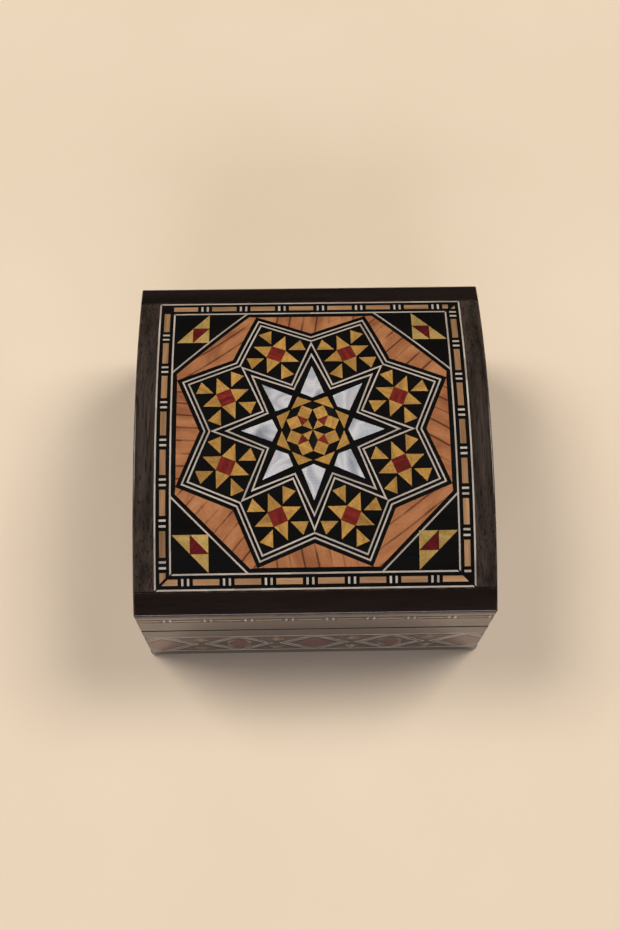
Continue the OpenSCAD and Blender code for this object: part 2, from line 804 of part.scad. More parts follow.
module laid(points) {
    polygon([for (p = points) lay(p)]);
}
module ring_of_strings() {
    for (r = [star_r, star_r - string_gap * sqrt(2)]) difference() {
        laid(octagram(r + line_half * sqrt(2)));
        laid(octagram(r - line_half * sqrt(2)));
    }
}
module field_outlines() {
    for (a = [0:90:270]) {
        laid(turned(side_field, a));
        laid(turned(corner_field, a));
        laid(turned(corner_panel, a));
    }
    for (k = [0:7]) {
        laid(tile(22.5 + 45 * k));
        laid(kite(45 * k));
    }
    laid(rosette);
    ring_of_strings();
}
module ebony_ground() {
    color("#0c0b0c") inlay() difference() {
        translate([-gx, -gy]) square([2 * gx, 2 * gy]);
        field_outlines();
    }
}
module corner_panels() {
    color("#161312") inlay() for (a = [0:90:270]) laid(turned(corner_panel, a));
}
module olive_side_fields() {
    color("#b5794f") inlay() for (a = [0:90:270]) laid(turned(side_field, a));
}
module olive_corner_fields() {
    color("#a86a42") inlay() for (a = [0:90:270]) laid(turned(corner_field, a));
}
module star_tiles() {
    color("#b0883f") inlay() for (k = [0:7]) laid(tile(22.5 + 45 * k));
}
module pearl_kites() {
    color("#d0cfd8") inlay() for (k = [0:7]) laid(kite(45 * k));
}
module centre_rosette() {
    color("#b0883f") inlay() laid(rosette);
}
module star_strings() {
    color("#c8bcb0") inlay() ring_of_strings();
}

base_front_wall();
base_back_wall();
base_left_wall();
base_right_wall();
bottom_board();
false_bottom();
base_felt();
drawer_runners();
left_mosaic_band();
right_mosaic_band();
back_mosaic_band();
base_velvet();
floor_pad();
escutcheon();
lock_case();
lock_back_plate();
lock_screws();
panel_stop_peg();
base_hinge_leaves();
hinge_pins();
base_hinge_screws();
panel_board();
panel_mosaic();
drawer_front();
drawer_tray();
box_key();
lock_cam();
lock_bolt();
lid_front_rail();
lid_back_rail();
lid_left_end();
lid_right_end();
lid_core();
lid_velvet();
lid_ceiling_velvet();
lid_hinge_leaves();
lid_hinge_screws();
lid_staple();
staple_screws();
lid_inlaid_lines();
top_band_front();
top_band_back();
top_band_left();
top_band_right();
border_front();
border_back();
border_left();
border_right();
ebony_ground();
corner_panels();
olive_side_fields();
olive_corner_fields();
star_tiles();
pearl_kites();
centre_rosette();
star_strings();
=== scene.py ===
# %% [markdown]
# # An inlaid puzzle box
# A square walnut box with an arched lid. The lid carries a star of small wood and pearl
# pieces, the base a mosaic band, and the whole box is lacquered to a high gloss.
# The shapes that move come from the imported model, which is loaded first and never changed.
# Everything here is laid over it, in metres.

# %% Load the frame
from math import asin, cos, degrees, pi, radians, sin, sqrt

import bmesh
import bpy
import numpy as np
from mathutils import Matrix, Vector, noise


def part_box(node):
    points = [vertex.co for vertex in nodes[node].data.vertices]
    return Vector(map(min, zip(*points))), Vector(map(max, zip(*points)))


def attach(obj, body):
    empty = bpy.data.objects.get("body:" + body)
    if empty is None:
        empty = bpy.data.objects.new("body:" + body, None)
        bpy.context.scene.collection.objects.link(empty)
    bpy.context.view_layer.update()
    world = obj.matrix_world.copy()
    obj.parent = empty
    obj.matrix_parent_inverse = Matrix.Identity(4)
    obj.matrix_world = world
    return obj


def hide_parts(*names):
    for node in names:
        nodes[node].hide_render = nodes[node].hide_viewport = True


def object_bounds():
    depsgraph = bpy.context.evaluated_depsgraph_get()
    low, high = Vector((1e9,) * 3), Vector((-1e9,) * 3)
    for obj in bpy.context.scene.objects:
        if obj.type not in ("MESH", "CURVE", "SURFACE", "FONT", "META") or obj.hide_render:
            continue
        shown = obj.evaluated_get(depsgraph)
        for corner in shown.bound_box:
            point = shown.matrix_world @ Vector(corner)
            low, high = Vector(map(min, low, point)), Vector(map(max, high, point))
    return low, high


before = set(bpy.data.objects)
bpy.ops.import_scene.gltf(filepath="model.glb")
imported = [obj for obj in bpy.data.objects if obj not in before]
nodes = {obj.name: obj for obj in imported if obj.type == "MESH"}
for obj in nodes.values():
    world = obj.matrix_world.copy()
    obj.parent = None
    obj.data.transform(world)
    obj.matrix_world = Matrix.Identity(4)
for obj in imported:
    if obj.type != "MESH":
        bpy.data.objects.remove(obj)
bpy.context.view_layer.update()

# %% [markdown]
# The floor is a plain sheet of painted board and the light is soft. The camera looks steeply
# down at the lid, so the front shows as a narrow strip in which the floor is mirrored.

# %% Sizes that come from the frame
MM = 0.001
TINY = 0.01 * MM
MERGE = 0.001 * MM
_, top_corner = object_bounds()
half_w, half_d, crown = top_corner


def highest(node, rule):
    """The highest point of a node among the points that the rule takes."""
    return max(v.co.z for v in nodes[node].data.vertices if rule(v.co))


edge_z = highest("top_band_front", lambda p: p.y < -half_d + TINY)
rise = crown - edge_z
arch_r = (half_d**2 + rise**2) / (2 * rise)
arch_z = crown - arch_r
frame_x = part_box("border_front")[1].x
frame_y = -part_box("border_front")[0].y
seam_z = (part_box("base_front_wall")[1].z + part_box("lid_front_rail")[0].z) / 2
OUTER_LINE = 52.975  # the frame's outer edge in the pattern's own millimetres
unit = frame_x / OUTER_LINE
unit_along = arch_r * asin(frame_y / arch_r) / OUTER_LINE
print(f"arch radius {arch_r / MM:.1f} mm, pattern scale {unit / MM:.3f} by {unit_along / MM:.3f}")

# %% Camera
LENS_MM = 51.948387
SENSOR_MM = 36
PITCH, YAW, ROLL = radians(70.10), radians(2.36), radians(1.44)
camera_at = Vector((-0.0622, -1.3657, 4.0976)) * (2 * half_w)


def camera_axes(pitch, yaw, roll):
    """The camera's right, up and forward directions."""
    forward = Vector((sin(yaw) * cos(pitch), cos(yaw) * cos(pitch), -sin(pitch)))
    right = Vector((cos(yaw), -sin(yaw), 0))
    up = right.cross(forward)
    return right * cos(roll) + up * sin(roll), up * cos(roll) - right * sin(roll), forward


right, up, forward = camera_axes(PITCH, YAW, ROLL)
camera_data = bpy.data.cameras.new("camera")
camera_data.sensor_fit = "VERTICAL"
camera_data.sensor_height = SENSOR_MM
camera_data.lens = LENS_MM
camera_data.clip_start = 0.01
camera = bpy.data.objects.new("camera", camera_data)
camera.matrix_world = Matrix((right, up, -forward)).transposed().to_4x4()
camera.location = camera_at
bpy.context.scene.collection.objects.link(camera)
bpy.context.scene.camera = camera
bpy.context.scene.view_settings.view_transform = "Standard"

# %% [markdown]
# Materials are small node trees. Colours are written as the hex values that a screen shows,
# and one function turns them into the linear values that the shader needs. One more function
# adds a node, sets it up and links it, so that each material reads as a list of steps.


# %% Colour and node helpers
def linear(hex_colour, alpha=1.0):
    """A screen colour such as #b0883f as linear red, green, blue and alpha."""
    parts = [int(hex_colour[i : i + 2], 16) / 255 for i in (1, 3, 5)]
    return (*[p / 12.92 if p <= 0.04045 else ((p + 0.055) / 1.055) ** 2.4 for p in parts], alpha)


def add(tree, kind, inputs=None, **settings):
    """Adds a node. Settings are its properties; inputs are its sockets, each a value or a link."""
    node = tree.nodes.new(kind)
    for key, value in settings.items():
        setattr(node, key, value)
    for key, value in (inputs or {}).items():
        if isinstance(value, bpy.types.NodeSocket):
            tree.links.new(value, node.inputs[key])
        else:
            node.inputs[key].default_value = value
    return node


def new_material(name, **shader_inputs):
    """A material with one shader, and the tree to build its pattern in."""
    material = bpy.data.materials.new(name)
    material.use_nodes = True
    tree = material.node_tree
    shader = tree.nodes["Principled BSDF"]
    for key, value in shader_inputs.items():
        shader.inputs[key.replace("_", " ")].default_value = value
    return material, tree, shader


def ramp(tree, factor, stops):
    """A colour ramp from (place, hex colour) pairs."""
    node = add(tree, "ShaderNodeValToRGB", {0: factor})
    elements = node.color_ramp.elements
    while len(elements) < len(stops):
        elements.new(1.0)
    for element, (place, colour) in zip(elements, stops):
        element.position = place
        element.color = linear(colour)
    return node.outputs["Color"]


def mixed(tree, how, factor, a, b):
    """Two colours mixed, each a link or a hex colour."""
    a, b = (linear(c) if isinstance(c, str) else c for c in (a, b))
    return add(tree, "ShaderNodeMix", {0: factor, 6: a, 7: b}, data_type="RGBA", blend_type=how).outputs[2]


# %% Helpers for patterns
def maths(tree, operation, *values):
    """One arithmetic step on numbers or links."""
    return add(tree, "ShaderNodeMath", dict(enumerate(values)), operation=operation).outputs[0]


def remap(tree, value, low, high, to_low, to_high):
    """A value carried from one range to another and held at its ends."""
    inputs = {"Value": value, 1: low, 2: high, 3: to_low, 4: to_high}
    return add(tree, "ShaderNodeMapRange", inputs).outputs[0]


def mottle(tree, place, scale, detail, distortion=0.0):
    """Soft noise between 0 and 1."""
    inputs = {"Vector": place, "Scale": scale, "Detail": detail, "Distortion": distortion}
    return add(tree, "ShaderNodeTexNoise", inputs).outputs["Fac"]


def own_place(tree):
    """The object's own coordinates, in metres."""
    return add(tree, "ShaderNodeTexCoord").outputs["Object"]


def relief(tree, shader, height, distance, strength=1.0, socket="Normal"):
    """A shallow bump on the shader or on its coat."""
    bump = add(tree, "ShaderNodeBump", {"Height": height, "Distance": distance, "Strength": strength})
    tree.links.new(bump.outputs["Normal"], shader.inputs[socket])


# %% [markdown]
# ## The lacquer
# Boxes like this are brushed and dipped in clear polyester until the wood lies under glass.
# The film is the shader's coat, and its slow waves are a second, very shallow bump that only
# the coat sees. It reads the object's own coordinates, so it runs on from chip to chip.


# %% The lacquer film
LACQUER = dict(Coat_Weight=1.0, Coat_Roughness=0.045, Coat_IOR=1.52, Roughness=0.5, IOR=1.45,
               Specular_IOR_Level=0.02)
WAVE_MM = 5.0
WAVE_DEPTH = 0.010 * MM
TONE_SHIFT = (173, 97, 61)
SEAM_DEPTH = 0.8 * MM
# painted seam shade: full within the first of these heights from the joint, gone at the second
SEAM_SHADE_FADE = (0.55 * MM, 0.8 * MM)


def film(tree, shader):
    """Slow waves in the lacquer, seen by the coat alone."""
    waves = mottle(tree, own_place(tree), 1 / (WAVE_MM * MM), 1.5)
    relief(tree, shader, waves, WAVE_DEPTH, socket="Coat Normal")


def grain_vector(tree, along, stretch, uv):
    """Millimetre coordinates with the grain along the first axis, shifted from chip to chip."""
    tone = add(tree, "ShaderNodeAttribute", attribute_name="tone").outputs["Fac"]
    place = add(tree, "ShaderNodeUVMap", uv_map="UVMap").outputs["UV"] if uv else own_place(tree)
    scale = 1.0 if uv else 1 / MM
    turn = -pi / 2 if along == "Y" and not uv else 0.0
    in_mm = add(tree, "ShaderNodeVectorMath", {0: place, "Scale": scale}, operation="SCALE").outputs[0]
    shift = add(tree, "ShaderNodeVectorMath", {0: TONE_SHIFT, "Scale": tone}, operation="SCALE").outputs[0]
    shifted = add(tree, "ShaderNodeVectorMath", {0: in_mm, 1: shift}, operation="ADD").outputs[0]
    lengthways = add(tree, "ShaderNodeMapping", {0: shifted, "Rotation": (0, 0, turn)}).outputs[0]
    squeezed = add(tree, "ShaderNodeMapping", {0: lengthways, "Scale": (1 / stretch, 1, 1)}).outputs[0]
    return squeezed, tone


# %% Wood under the lacquer
def wood(name, pale, dark, pore, along="X", stretch=22, uv=False, figure_mm=7, fibre_mm=0.5,
         pores=0.35, shade=0.3, gloss=True, wear=None, seam=False):
    """Wood: slow figure, fine fibres, dark pores and a shade of its own for each chip."""
    material, tree, shader = new_material(name, **(LACQUER if gloss else dict(Roughness=0.62, IOR=1.45)))
    place, tone = grain_vector(tree, along, stretch, uv)
    figure = mottle(tree, place, 1 / figure_mm, 3, 0.6)
    fibre = mottle(tree, place, 1 / fibre_mm, 2)
    pore_spots = mottle(tree, place, 1.7 / fibre_mm, 1)
    body = ramp(tree, figure, [(0.32, dark), (0.68, pale)])
    body = mixed(tree, "MULTIPLY", 1.0, body, remap(tree, fibre, 0.3, 0.7, 0.78, 1.16))
    body = mixed(tree, "MIX", remap(tree, pore_spots, 0.56, 0.66, 0.0, pores), body, pore)
    body = mixed(tree, "MULTIPLY", 1.0, body, remap(tree, tone, 0, 1, 1 - shade / 2, 1 + shade / 2))
    if wear:
        body = worn(tree, body, wear)
    # seam adds painted shade along the joint between the lid and the base
    if seam:
        body = painted_seam_shade(tree, shader, body)
    tree.links.new(body, shader.inputs["Base Color"])
    relief(tree, shader, fibre, 0.02 * MM, 0.35)
    if gloss:
        film(tree, shader)
    return material


def worn(tree, body, colour):
    """Rubbed edges: the softened arrises carry an attribute, and noise breaks them up."""
    edge = add(tree, "ShaderNodeAttribute", attribute_name="arris").outputs["Fac"]
    rubbed = remap(tree, mottle(tree, own_place(tree), 1 / (4 * MM), 4), 0.42, 0.62, 0.0, 0.55)
    return mixed(tree, "MIX", maths(tree, "MULTIPLY", edge, rubbed), body, colour)


def painted_seam_shade(tree, shader, body):
    """Painted shade along the joint between the lid and the base, on its outer edge only: the chamfers go
    dark and dull, for the shadow in the gap.
    """
    x, y, z = add(tree, "ShaderNodeSeparateXYZ", {0: own_place(tree)}).outputs
    away = maths(tree, "ABSOLUTE", maths(tree, "SUBTRACT", z, seam_z))
    from_side = maths(tree, "SUBTRACT", maths(tree, "ABSOLUTE", x), half_w - SEAM_DEPTH)
    from_front = maths(tree, "SUBTRACT", maths(tree, "ABSOLUTE", y), half_d - SEAM_DEPTH)
    outside = maths(tree, "GREATER_THAN", maths(tree, "MAXIMUM", from_side, from_front), 0.0)
    # painted shade: near the joint, on the outer faces only, the colour goes near-black and the coat goes, in
    # place of the shadow in the gap
    seam_shade = maths(tree, "MULTIPLY", remap(tree, away, *SEAM_SHADE_FADE, 1.0, 0.0), outside)
    tree.links.new(maths(tree, "SUBTRACT", 1.0, seam_shade), shader.inputs["Coat Weight"])
    return mixed(tree, "MIX", seam_shade, body, "#120a08")


# %% [markdown]
# ## Woods of the case and the marquetry
# Walnut is brown-black under lacquer, with long dark pores. The edge bands are near-black.
# The yellow chips are citrus and boxwood, close-grained. The red ones are a pale wood dyed
# right through. The strings are maple, and the ground of the star is dyed black.

# %% Woods
# the walnut takes painted shade along the seam between the lid and the base
walnut = dict(pale="#58463f", dark="#392a24", pore="#150e0b", wear="#7a5f4a", seam=True)
walnut_x = wood("lacquered_walnut", **walnut)
walnut_y = wood("lacquered_walnut_sides", along="Y", **walnut)
edge_front = wood("ebonised_edge_front", "#241a17", "#15100e", "#080606", wear="#4a382e")
edge_side = wood("ebonised_edge_side", "#443933", "#26201c", "#120e0c", along="Y", fibre_mm=0.8, figure_mm=4,
                 stretch=30, pores=0.7, wear="#5a4a40")
black_chip = wood("black_dyed_chip", "#151312", "#090808", "#040404", uv=True, shade=1.2, pores=0.2)
black_ground = wood("black_dyed_ground", "#0c0c0d", "#060606", "#050505", shade=0.0, pores=0.1)
yellow_wood = wood("citrus_wood", "#b98d4a", "#936d37", "#5a411f", uv=True, stretch=3, figure_mm=3,
                   fibre_mm=0.3, pores=0.6)
dull_yellow = wood("old_boxwood", "#7d6b4b", "#625138", "#443623", uv=True, stretch=10, figure_mm=4,
                   pores=0.25)
pale_line = wood("pale_pearwood", "#a48d74", "#86705a", "#5f4d3c", uv=True, figure_mm=4, pores=0.2)
corner_wood = wood("boxwood", "#ad9158", "#94783f", "#665028", uv=True, stretch=3, figure_mm=4,
                   fibre_mm=0.35, pores=0.5)
red_wood = wood("red_dyed_wood", "#7c2722", "#5c1a17", "#34100e", uv=True, stretch=9, figure_mm=2,
                fibre_mm=0.35, pores=0.7)
deep_red_wood = wood("dark_red_dyed_wood", "#63191d", "#471014", "#2a090b", uv=True, figure_mm=3)
tan_wood = wood("tan_pearwood", "#a57f5e", "#856547", "#5e432d", uv=True, figure_mm=4, pores=0.25, shade=0.4)
string_wood = wood("maple_string", "#bcb1a7", "#9f948a", "#766c63", uv=True, figure_mm=5, pores=0.2,
                   shade=0.12)
poplar = dict(pale="#b08d62", dark="#8f6d46", pore="#6b4d2e", gloss=False, pores=0.2)
plain_wood = wood("bare_poplar", **poplar)
plain_wood_y = wood("bare_poplar_cross", along="Y", **poplar)
band_walnut = dict(pale="#3a2b25", dark="#241a16", pore="#0e0a08", fibre_mm=0.4)
band_ground = wood("band_ground_walnut", wear="#6a5040", **band_walnut)
band_ground_y = wood("band_ground_walnut_sides", along="Y", **band_walnut)


# %% Olive wood
def olive(name):
    """Olive wood: orange-brown with wandering, near-black streaks."""
    material, tree, shader = new_material(name, **LACQUER)
    place, _ = grain_vector(tree, "X", 2.2, True)
    clouds = mottle(tree, place, 0.13, 3, 1.0)
    bands = add(tree, "ShaderNodeTexWave", {"Vector": place, "Scale": 0.07, "Distortion": 7, "Detail": 2,
                "Detail Scale": 0.35, "Detail Roughness": 0.5}, bands_direction="Y")
    body = ramp(tree, clouds, [(0.3, "#845036"), (0.46, "#98623f"), (0.6, "#a56e49"), (0.75, "#b07c58")])
    body = mixed(tree, "MULTIPLY", 1.0, body, remap(tree, mottle(tree, place, 2.4, 3), 0.3, 0.7, 0.84, 1.1))
    streaks = remap(tree, bands.outputs["Fac"], 0.92, 0.985, 0.0, 0.85)
    in_dark_wood = remap(tree, clouds, 0.66, 0.46, 0.1, 1.0)
    body = mixed(tree, "MIX", maths(tree, "MULTIPLY", streaks, in_dark_wood), body, "#472417")
    tree.links.new(body, shader.inputs["Base Color"])
    film(tree, shader)
    return material


olive_wood = olive("olive_wood")


# %% [markdown]
# ## Mother-of-pearl, metals, velvet and felt
# Pearl shell is milk-white with pale blue, rose and green clouds. A thin clear film over a
# partly metallic body gives it a shine that shifts. The brass is polished and a little
# tarnished in patches. Velvet is a deep red with a nap that lies in broad brushed patches, and
# its short pile shows as sheen. Felt is matt wool, matted in all directions.


# %% Pearl, metals and cloth
def pearl(name):
    """Mother-of-pearl: clouds of pale colour, crossed by faint growth lines."""
    material, tree, shader = new_material(name, Roughness=0.24, Metallic=0.25, Coat_Weight=1.0,
                                          Coat_Roughness=0.04, Thin_Film_Thickness=380.0, Thin_Film_IOR=1.5)
    place, _ = grain_vector(tree, "X", 1.6, True)
    growth = add(tree, "ShaderNodeTexWave", {"Vector": place, "Scale": 0.5, "Distortion": 5, "Detail": 2})
    clouds = mottle(tree, place, 0.13, 2, 0.8)
    body = ramp(tree, clouds, [(0.3, "#858a94"), (0.42, "#b3b5bd"), (0.52, "#d9d7dc"), (0.62, "#b1b8be"),
                               (0.75, "#c9c0c9")])
    body = mixed(tree, "SOFT_LIGHT", 0.1, body, growth.outputs["Color"])
    tree.links.new(body, shader.inputs["Base Color"])
    film(tree, shader)
    return material


def metal(name, bright, dull, rough, patch_mm=6.0):
    """Worked metal: tarnish in patches and fine rubbing marks."""
    material, tree, shader = new_material(name, Metallic=1.0, Roughness=rough)
    place = own_place(tree)
    patches = mottle(tree, place, 1 / (patch_mm * MM), 4)
    marks = add(tree, "ShaderNodeMapping", {0: place, "Scale": (300, 3000, 3000)}).outputs[0]
    tree.links.new(ramp(tree, patches, [(0.35, dull), (0.6, bright)]), shader.inputs["Base Color"])
    tree.links.new(remap(tree, patches, 0.3, 0.7, rough + 0.14, rough - 0.05), shader.inputs["Roughness"])
    relief(tree, shader, mottle(tree, marks, 1.0, 2), 0.01 * MM, 0.4)
    return material


def pile(name, bright, deep, nap_mm, tuft_mm, sheen, sheen_tint):
    """Cloth with a pile: brushed patches of nap over fine tufts."""
    material, tree, shader = new_material(name, Roughness=0.95, IOR=1.4, Specular_IOR_Level=0.15,
                                          Sheen_Weight=sheen, Sheen_Roughness=0.35,
                                          Sheen_Tint=linear(sheen_tint))
    place = own_place(tree)
    tufts = mottle(tree, place, 1 / (tuft_mm * MM), 2)
    body = ramp(tree, mottle(tree, place, 1 / (nap_mm * MM), 3, 0.8), [(0.35, deep), (0.65, bright)])
    body = mixed(tree, "MULTIPLY", 1.0, body, remap(tree, tufts, 0.3, 0.7, 0.7, 1.2))
    tree.links.new(body, shader.inputs["Base Color"])
    relief(tree, shader, tufts, 0.15 * MM, 0.6)
    return material


pearl_shell = pearl("mother_of_pearl")
brass = metal("polished_brass", "#d3ae59", "#b98f42", 0.24)
steel = metal("filed_steel", "#a9a59d", "#96928b", 0.34)
velvet = pile("red_velvet", "#80172a", "#661020", 14, 0.35, 0.9, "#d98a94")
felt = pile("brown_felt", "#4a2c2a", "#33201f", 5, 0.6, 0.25, "#8a7068")

# %% [markdown]
# ## Geometry Nodes for inlay
# A marquetry maker saws one rod, glues the chips round a centre, and slices the rod into
# many equal tiles. The nodes do the same: a flat drawing of the chips is copied round a
# centre, each chip gets a shade of its own, and the chips get their thickness.
# A second group then bends the result over the arch, or stands it in a wall.


# %% Helpers for meshes and node groups
def mesh_from(bm, name):
    """A finished mesh from its editable form, which is let go."""
    mesh = bpy.data.meshes.new(name)
    bm.to_mesh(mesh)
    bm.free()
    return mesh


def new_piece(name, mesh):
    """An object for a mesh, in the scene."""
    piece = bpy.data.objects.new(name, mesh)
    bpy.context.scene.collection.objects.link(piece)
    return piece


def evaluated(piece):
    """A new mesh with everything that the piece's modifiers make."""
    depsgraph = bpy.context.evaluated_depsgraph_get()
    return bpy.data.meshes.new_from_object(piece.evaluated_get(depsgraph), preserve_all_data_layers=True,
                                           depsgraph=depsgraph)


def keep(piece, modifier):
    """Makes what a modifier shows the piece's plain mesh, and removes the modifier."""
    mesh = evaluated(piece)
    piece.modifiers.remove(modifier)
    mesh.name = piece.name
    piece.data = mesh


# %% Helpers for node groups
def new_group(name, inputs):
    """A geometry node group with named inputs, given as (name, socket type, default)."""
    tree = bpy.data.node_groups.new(name, "GeometryNodeTree")
    tree.interface.new_socket("Geometry", in_out="INPUT", socket_type="NodeSocketGeometry")
    for label, kind, default in inputs:
        socket = tree.interface.new_socket(label, in_out="INPUT", socket_type="NodeSocket" + kind)
        if default is not None:
            socket.default_value = default
    tree.interface.new_socket("Geometry", in_out="OUTPUT", socket_type="NodeSocketGeometry")
    return tree, add(tree, "NodeGroupInput").outputs


def turn_about_z(tree, angle):
    """A rotation about the upright axis."""
    flat = add(tree, "ShaderNodeCombineXYZ", {"Z": angle}).outputs[0]
    return add(tree, "FunctionNodeEulerToRotation", {0: flat}).outputs[0]


def end_in(tree, geometry, material):
    """The last two steps of a tree: its material, and its output."""
    painted = add(tree, "GeometryNodeSetMaterial", {0: geometry, "Material": material}).outputs[0]
    add(tree, "NodeGroupOutput", {0: painted})


# %% Chips: copies, a shade for each, and thickness
CHIP_INPUTS = [("Copies", "Int", 1), ("Turn", "Float", 0.0), ("Cuts", "Int", 2), ("Depth", "Float", 1.0),
               ("Seed", "Int", 1)]
CREASE = radians(35)
WELD = 0.001


def chip_group():
    """Copies a flat drawing round its centre and makes each outline a solid chip."""
    tree, given = new_group("chips", CHIP_INPUTS)
    line = add(tree, "GeometryNodeMeshLine", {"Count": given["Copies"], "Offset": (0, 0, 0)}, mode="OFFSET")
    index = add(tree, "GeometryNodeInputIndex").outputs[0]
    turn = turn_about_z(tree, maths(tree, "MULTIPLY", index, given["Turn"]))
    copies = add(tree, "GeometryNodeInstanceOnPoints", {"Points": line.outputs[0], "Rotation": turn,
                 "Instance": given["Geometry"]}).outputs[0]
    real = add(tree, "GeometryNodeRealizeInstances", {0: copies}).outputs[0]
    island = add(tree, "GeometryNodeInputMeshIsland").outputs["Island Index"]
    shade = add(tree, "FunctionNodeRandomValue", {7: island, 8: given["Seed"]}, data_type="FLOAT").outputs[1]
    toned = add(tree, "GeometryNodeStoreNamedAttribute", {"Geometry": real, "Name": "tone", "Value": shade},
                data_type="FLOAT", domain="FACE").outputs[0]
    fine = add(tree, "GeometryNodeSubdivideMesh", {"Mesh": toned, "Level": given["Cuts"]}).outputs[0]
    down = maths(tree, "MULTIPLY", given["Depth"], -1.0)
    offset = add(tree, "ShaderNodeCombineXYZ", {"Z": down}).outputs[0]
    under = add(tree, "GeometryNodeFlipFaces", {0: fine}).outputs[0]
    walls = add(tree, "GeometryNodeExtrudeMesh", {"Mesh": under, "Offset": offset, "Offset Scale": 1.0,
                "Individual": False})
    both = add(tree, "GeometryNodeJoinGeometry")
    tree.links.new(fine, both.inputs[0])
    tree.links.new(walls.outputs[0], both.inputs[0])
    closed = add(tree, "GeometryNodeMergeByDistance", {"Geometry": both.outputs[0], "Distance": WELD})
    add(tree, "NodeGroupOutput", {0: closed.outputs[0]})
    return tree


chips = chip_group()


# %% Smooth sides with crisp edges
def smooth_sides(tree, geometry):
    """Smooth faces, with every sharp edge kept crisp."""
    smooth = add(tree, "GeometryNodeSetShadeSmooth", {"Geometry": geometry, "Shade Smooth": True},
                 domain="FACE").outputs[0]
    bend = add(tree, "GeometryNodeInputMeshEdgeAngle").outputs[0]
    crisp = add(tree, "FunctionNodeCompare", {0: bend, 1: CREASE}, data_type="FLOAT",
                operation="GREATER_THAN").outputs[0]
    return add(tree, "GeometryNodeSetShadeSmooth", {"Geometry": smooth, "Selection": crisp,
               "Shade Smooth": False}, domain="EDGE").outputs[0]


# %% Bend over the arch
ARCH_INPUTS = [("Across", "Float", MM), ("Along", "Float", MM), ("Up", "Float", MM), ("Proud", "Float", 0.0),
               ("Arch radius", "Float", arch_r), ("Arch centre", "Float", arch_z)]


def arch_group():
    """Lays a flat drawing over the arch: x stays, y runs along the curve, z is height above it."""
    tree, given = new_group("over the arch", ARCH_INPUTS)
    position = add(tree, "GeometryNodeInputPosition").outputs[0]
    x, y, z = add(tree, "ShaderNodeSeparateXYZ", {0: position}).outputs

    def math(how, *values):
        return maths(tree, how, *values)

    turn = math("DIVIDE", math("MULTIPLY", y, given["Along"]), given["Arch radius"])
    back = math("MULTIPLY", math("SINE", turn), given["Arch radius"])
    up = math("ADD", math("MULTIPLY", math("COSINE", turn), given["Arch radius"]), given["Arch centre"])
    lift = math("ADD", math("MULTIPLY", z, given["Up"]), given["Proud"])
    across = math("MULTIPLY", x, given["Across"])
    place = add(tree, "ShaderNodeCombineXYZ", {0: across, 1: back, 2: math("ADD", up, lift)}).outputs[0]
    bent = add(tree, "GeometryNodeSetPosition", {"Geometry": given["Geometry"], "Position": place}).outputs[0]
    add(tree, "NodeGroupOutput", {0: smooth_sides(tree, bent)})
    return tree


over_arch = arch_group()


# %% Stand in a wall
WALL_INPUTS = [("Distance", "Float", half_d), ("Height", "Float", 0.0), ("Side", "Float", 0.0)]


def wall_group():
    """Stands a flat drawing upright in the front wall, then turns it round to its own side."""
    tree, given = new_group("in a wall", WALL_INPUTS)
    front = maths(tree, "MULTIPLY", given["Distance"], -1.0)
    place = add(tree, "ShaderNodeCombineXYZ", {"Y": front, "Z": given["Height"]}).outputs[0]
    upright = add(tree, "GeometryNodeTransform", {"Geometry": given["Geometry"], "Translation": place,
                  "Rotation": (pi / 2, 0, 0), "Scale": (MM, MM, MM)}).outputs[0]
    side = turn_about_z(tree, given["Side"])
    turned_round = add(tree, "GeometryNodeTransform", {"Geometry": upright, "Rotation": side}).outputs[0]
    add(tree, "NodeGroupOutput", {0: smooth_sides(tree, turned_round)})
    return tree


in_wall = wall_group()


# %% The three complete trees
def complete(name, steps):
    """A tree that runs the steps in turn and ends in Realize Instances and Set Material."""
    inputs = [row for _, rows in steps for row in rows] + [("Material", "Material", None)]
    tree, given = new_group(name, inputs)
    geometry = given["Geometry"]
    for group, rows in steps:
        values = {"Geometry": geometry, **{row[0]: given[row[0]] for row in rows}}
        geometry = add(tree, "GeometryNodeGroup", values, node_tree=group).outputs[0]
    end_in(tree, add(tree, "GeometryNodeRealizeInstances", {0: geometry}).outputs[0], given["Material"])
    return tree


inlay_on_lid = complete("inlay on the lid", [(chips, CHIP_INPUTS), (over_arch, ARCH_INPUTS)])
slab_on_lid = complete("slab on the lid", [(over_arch, ARCH_INPUTS)])
inlay_in_wall = complete("inlay in a wall", [(chips, CHIP_INPUTS), (in_wall, WALL_INPUTS)])


def run_tree(piece, tree, values):
    """Runs a tree on a piece and keeps the result as its plain mesh."""
    modifier = piece.modifiers.new("nodes", "NODES")
    modifier.node_group = tree
    sockets = {s.name: s.identifier for s in tree.interface.items_tree if s.in_out == "INPUT"}
    for label, value in values.items():
        modifier[sockets[label]] = value
    keep(piece, modifier)


def weigh(piece):
    """Keeps flat faces flat in the shading, so that a curve begins only where it begins."""
    modifier = piece.modifiers.new("weights", "WEIGHTED_NORMAL")
    modifier.keep_sharp = True
    keep(piece, modifier)


def declare(piece, body, slot, *replaced):
    """Says which body a piece rides on and which nodes it stands for. The slot, which would name its finish,
    is not used.
    """
    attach(piece, body)
    if replaced:
        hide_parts(*replaced)


# %% [markdown]
# ## Drawing the chips
# Every chip is a convex outline on flat paper, in the pattern's own millimetres: x runs
# across the lid and y along the arch. Each chip also has the direction of its grain, which
# becomes its UV map. A chip is drawn a hair smaller than its place, and the dark gap left
# over is the glue line.


# %% Outlines
GLUE = 0.05
SPLINTER = 0.02


def polar(r, angle):
    """A point at a distance and an angle from the centre."""
    return Vector((r * cos(radians(angle)), r * sin(radians(angle))))


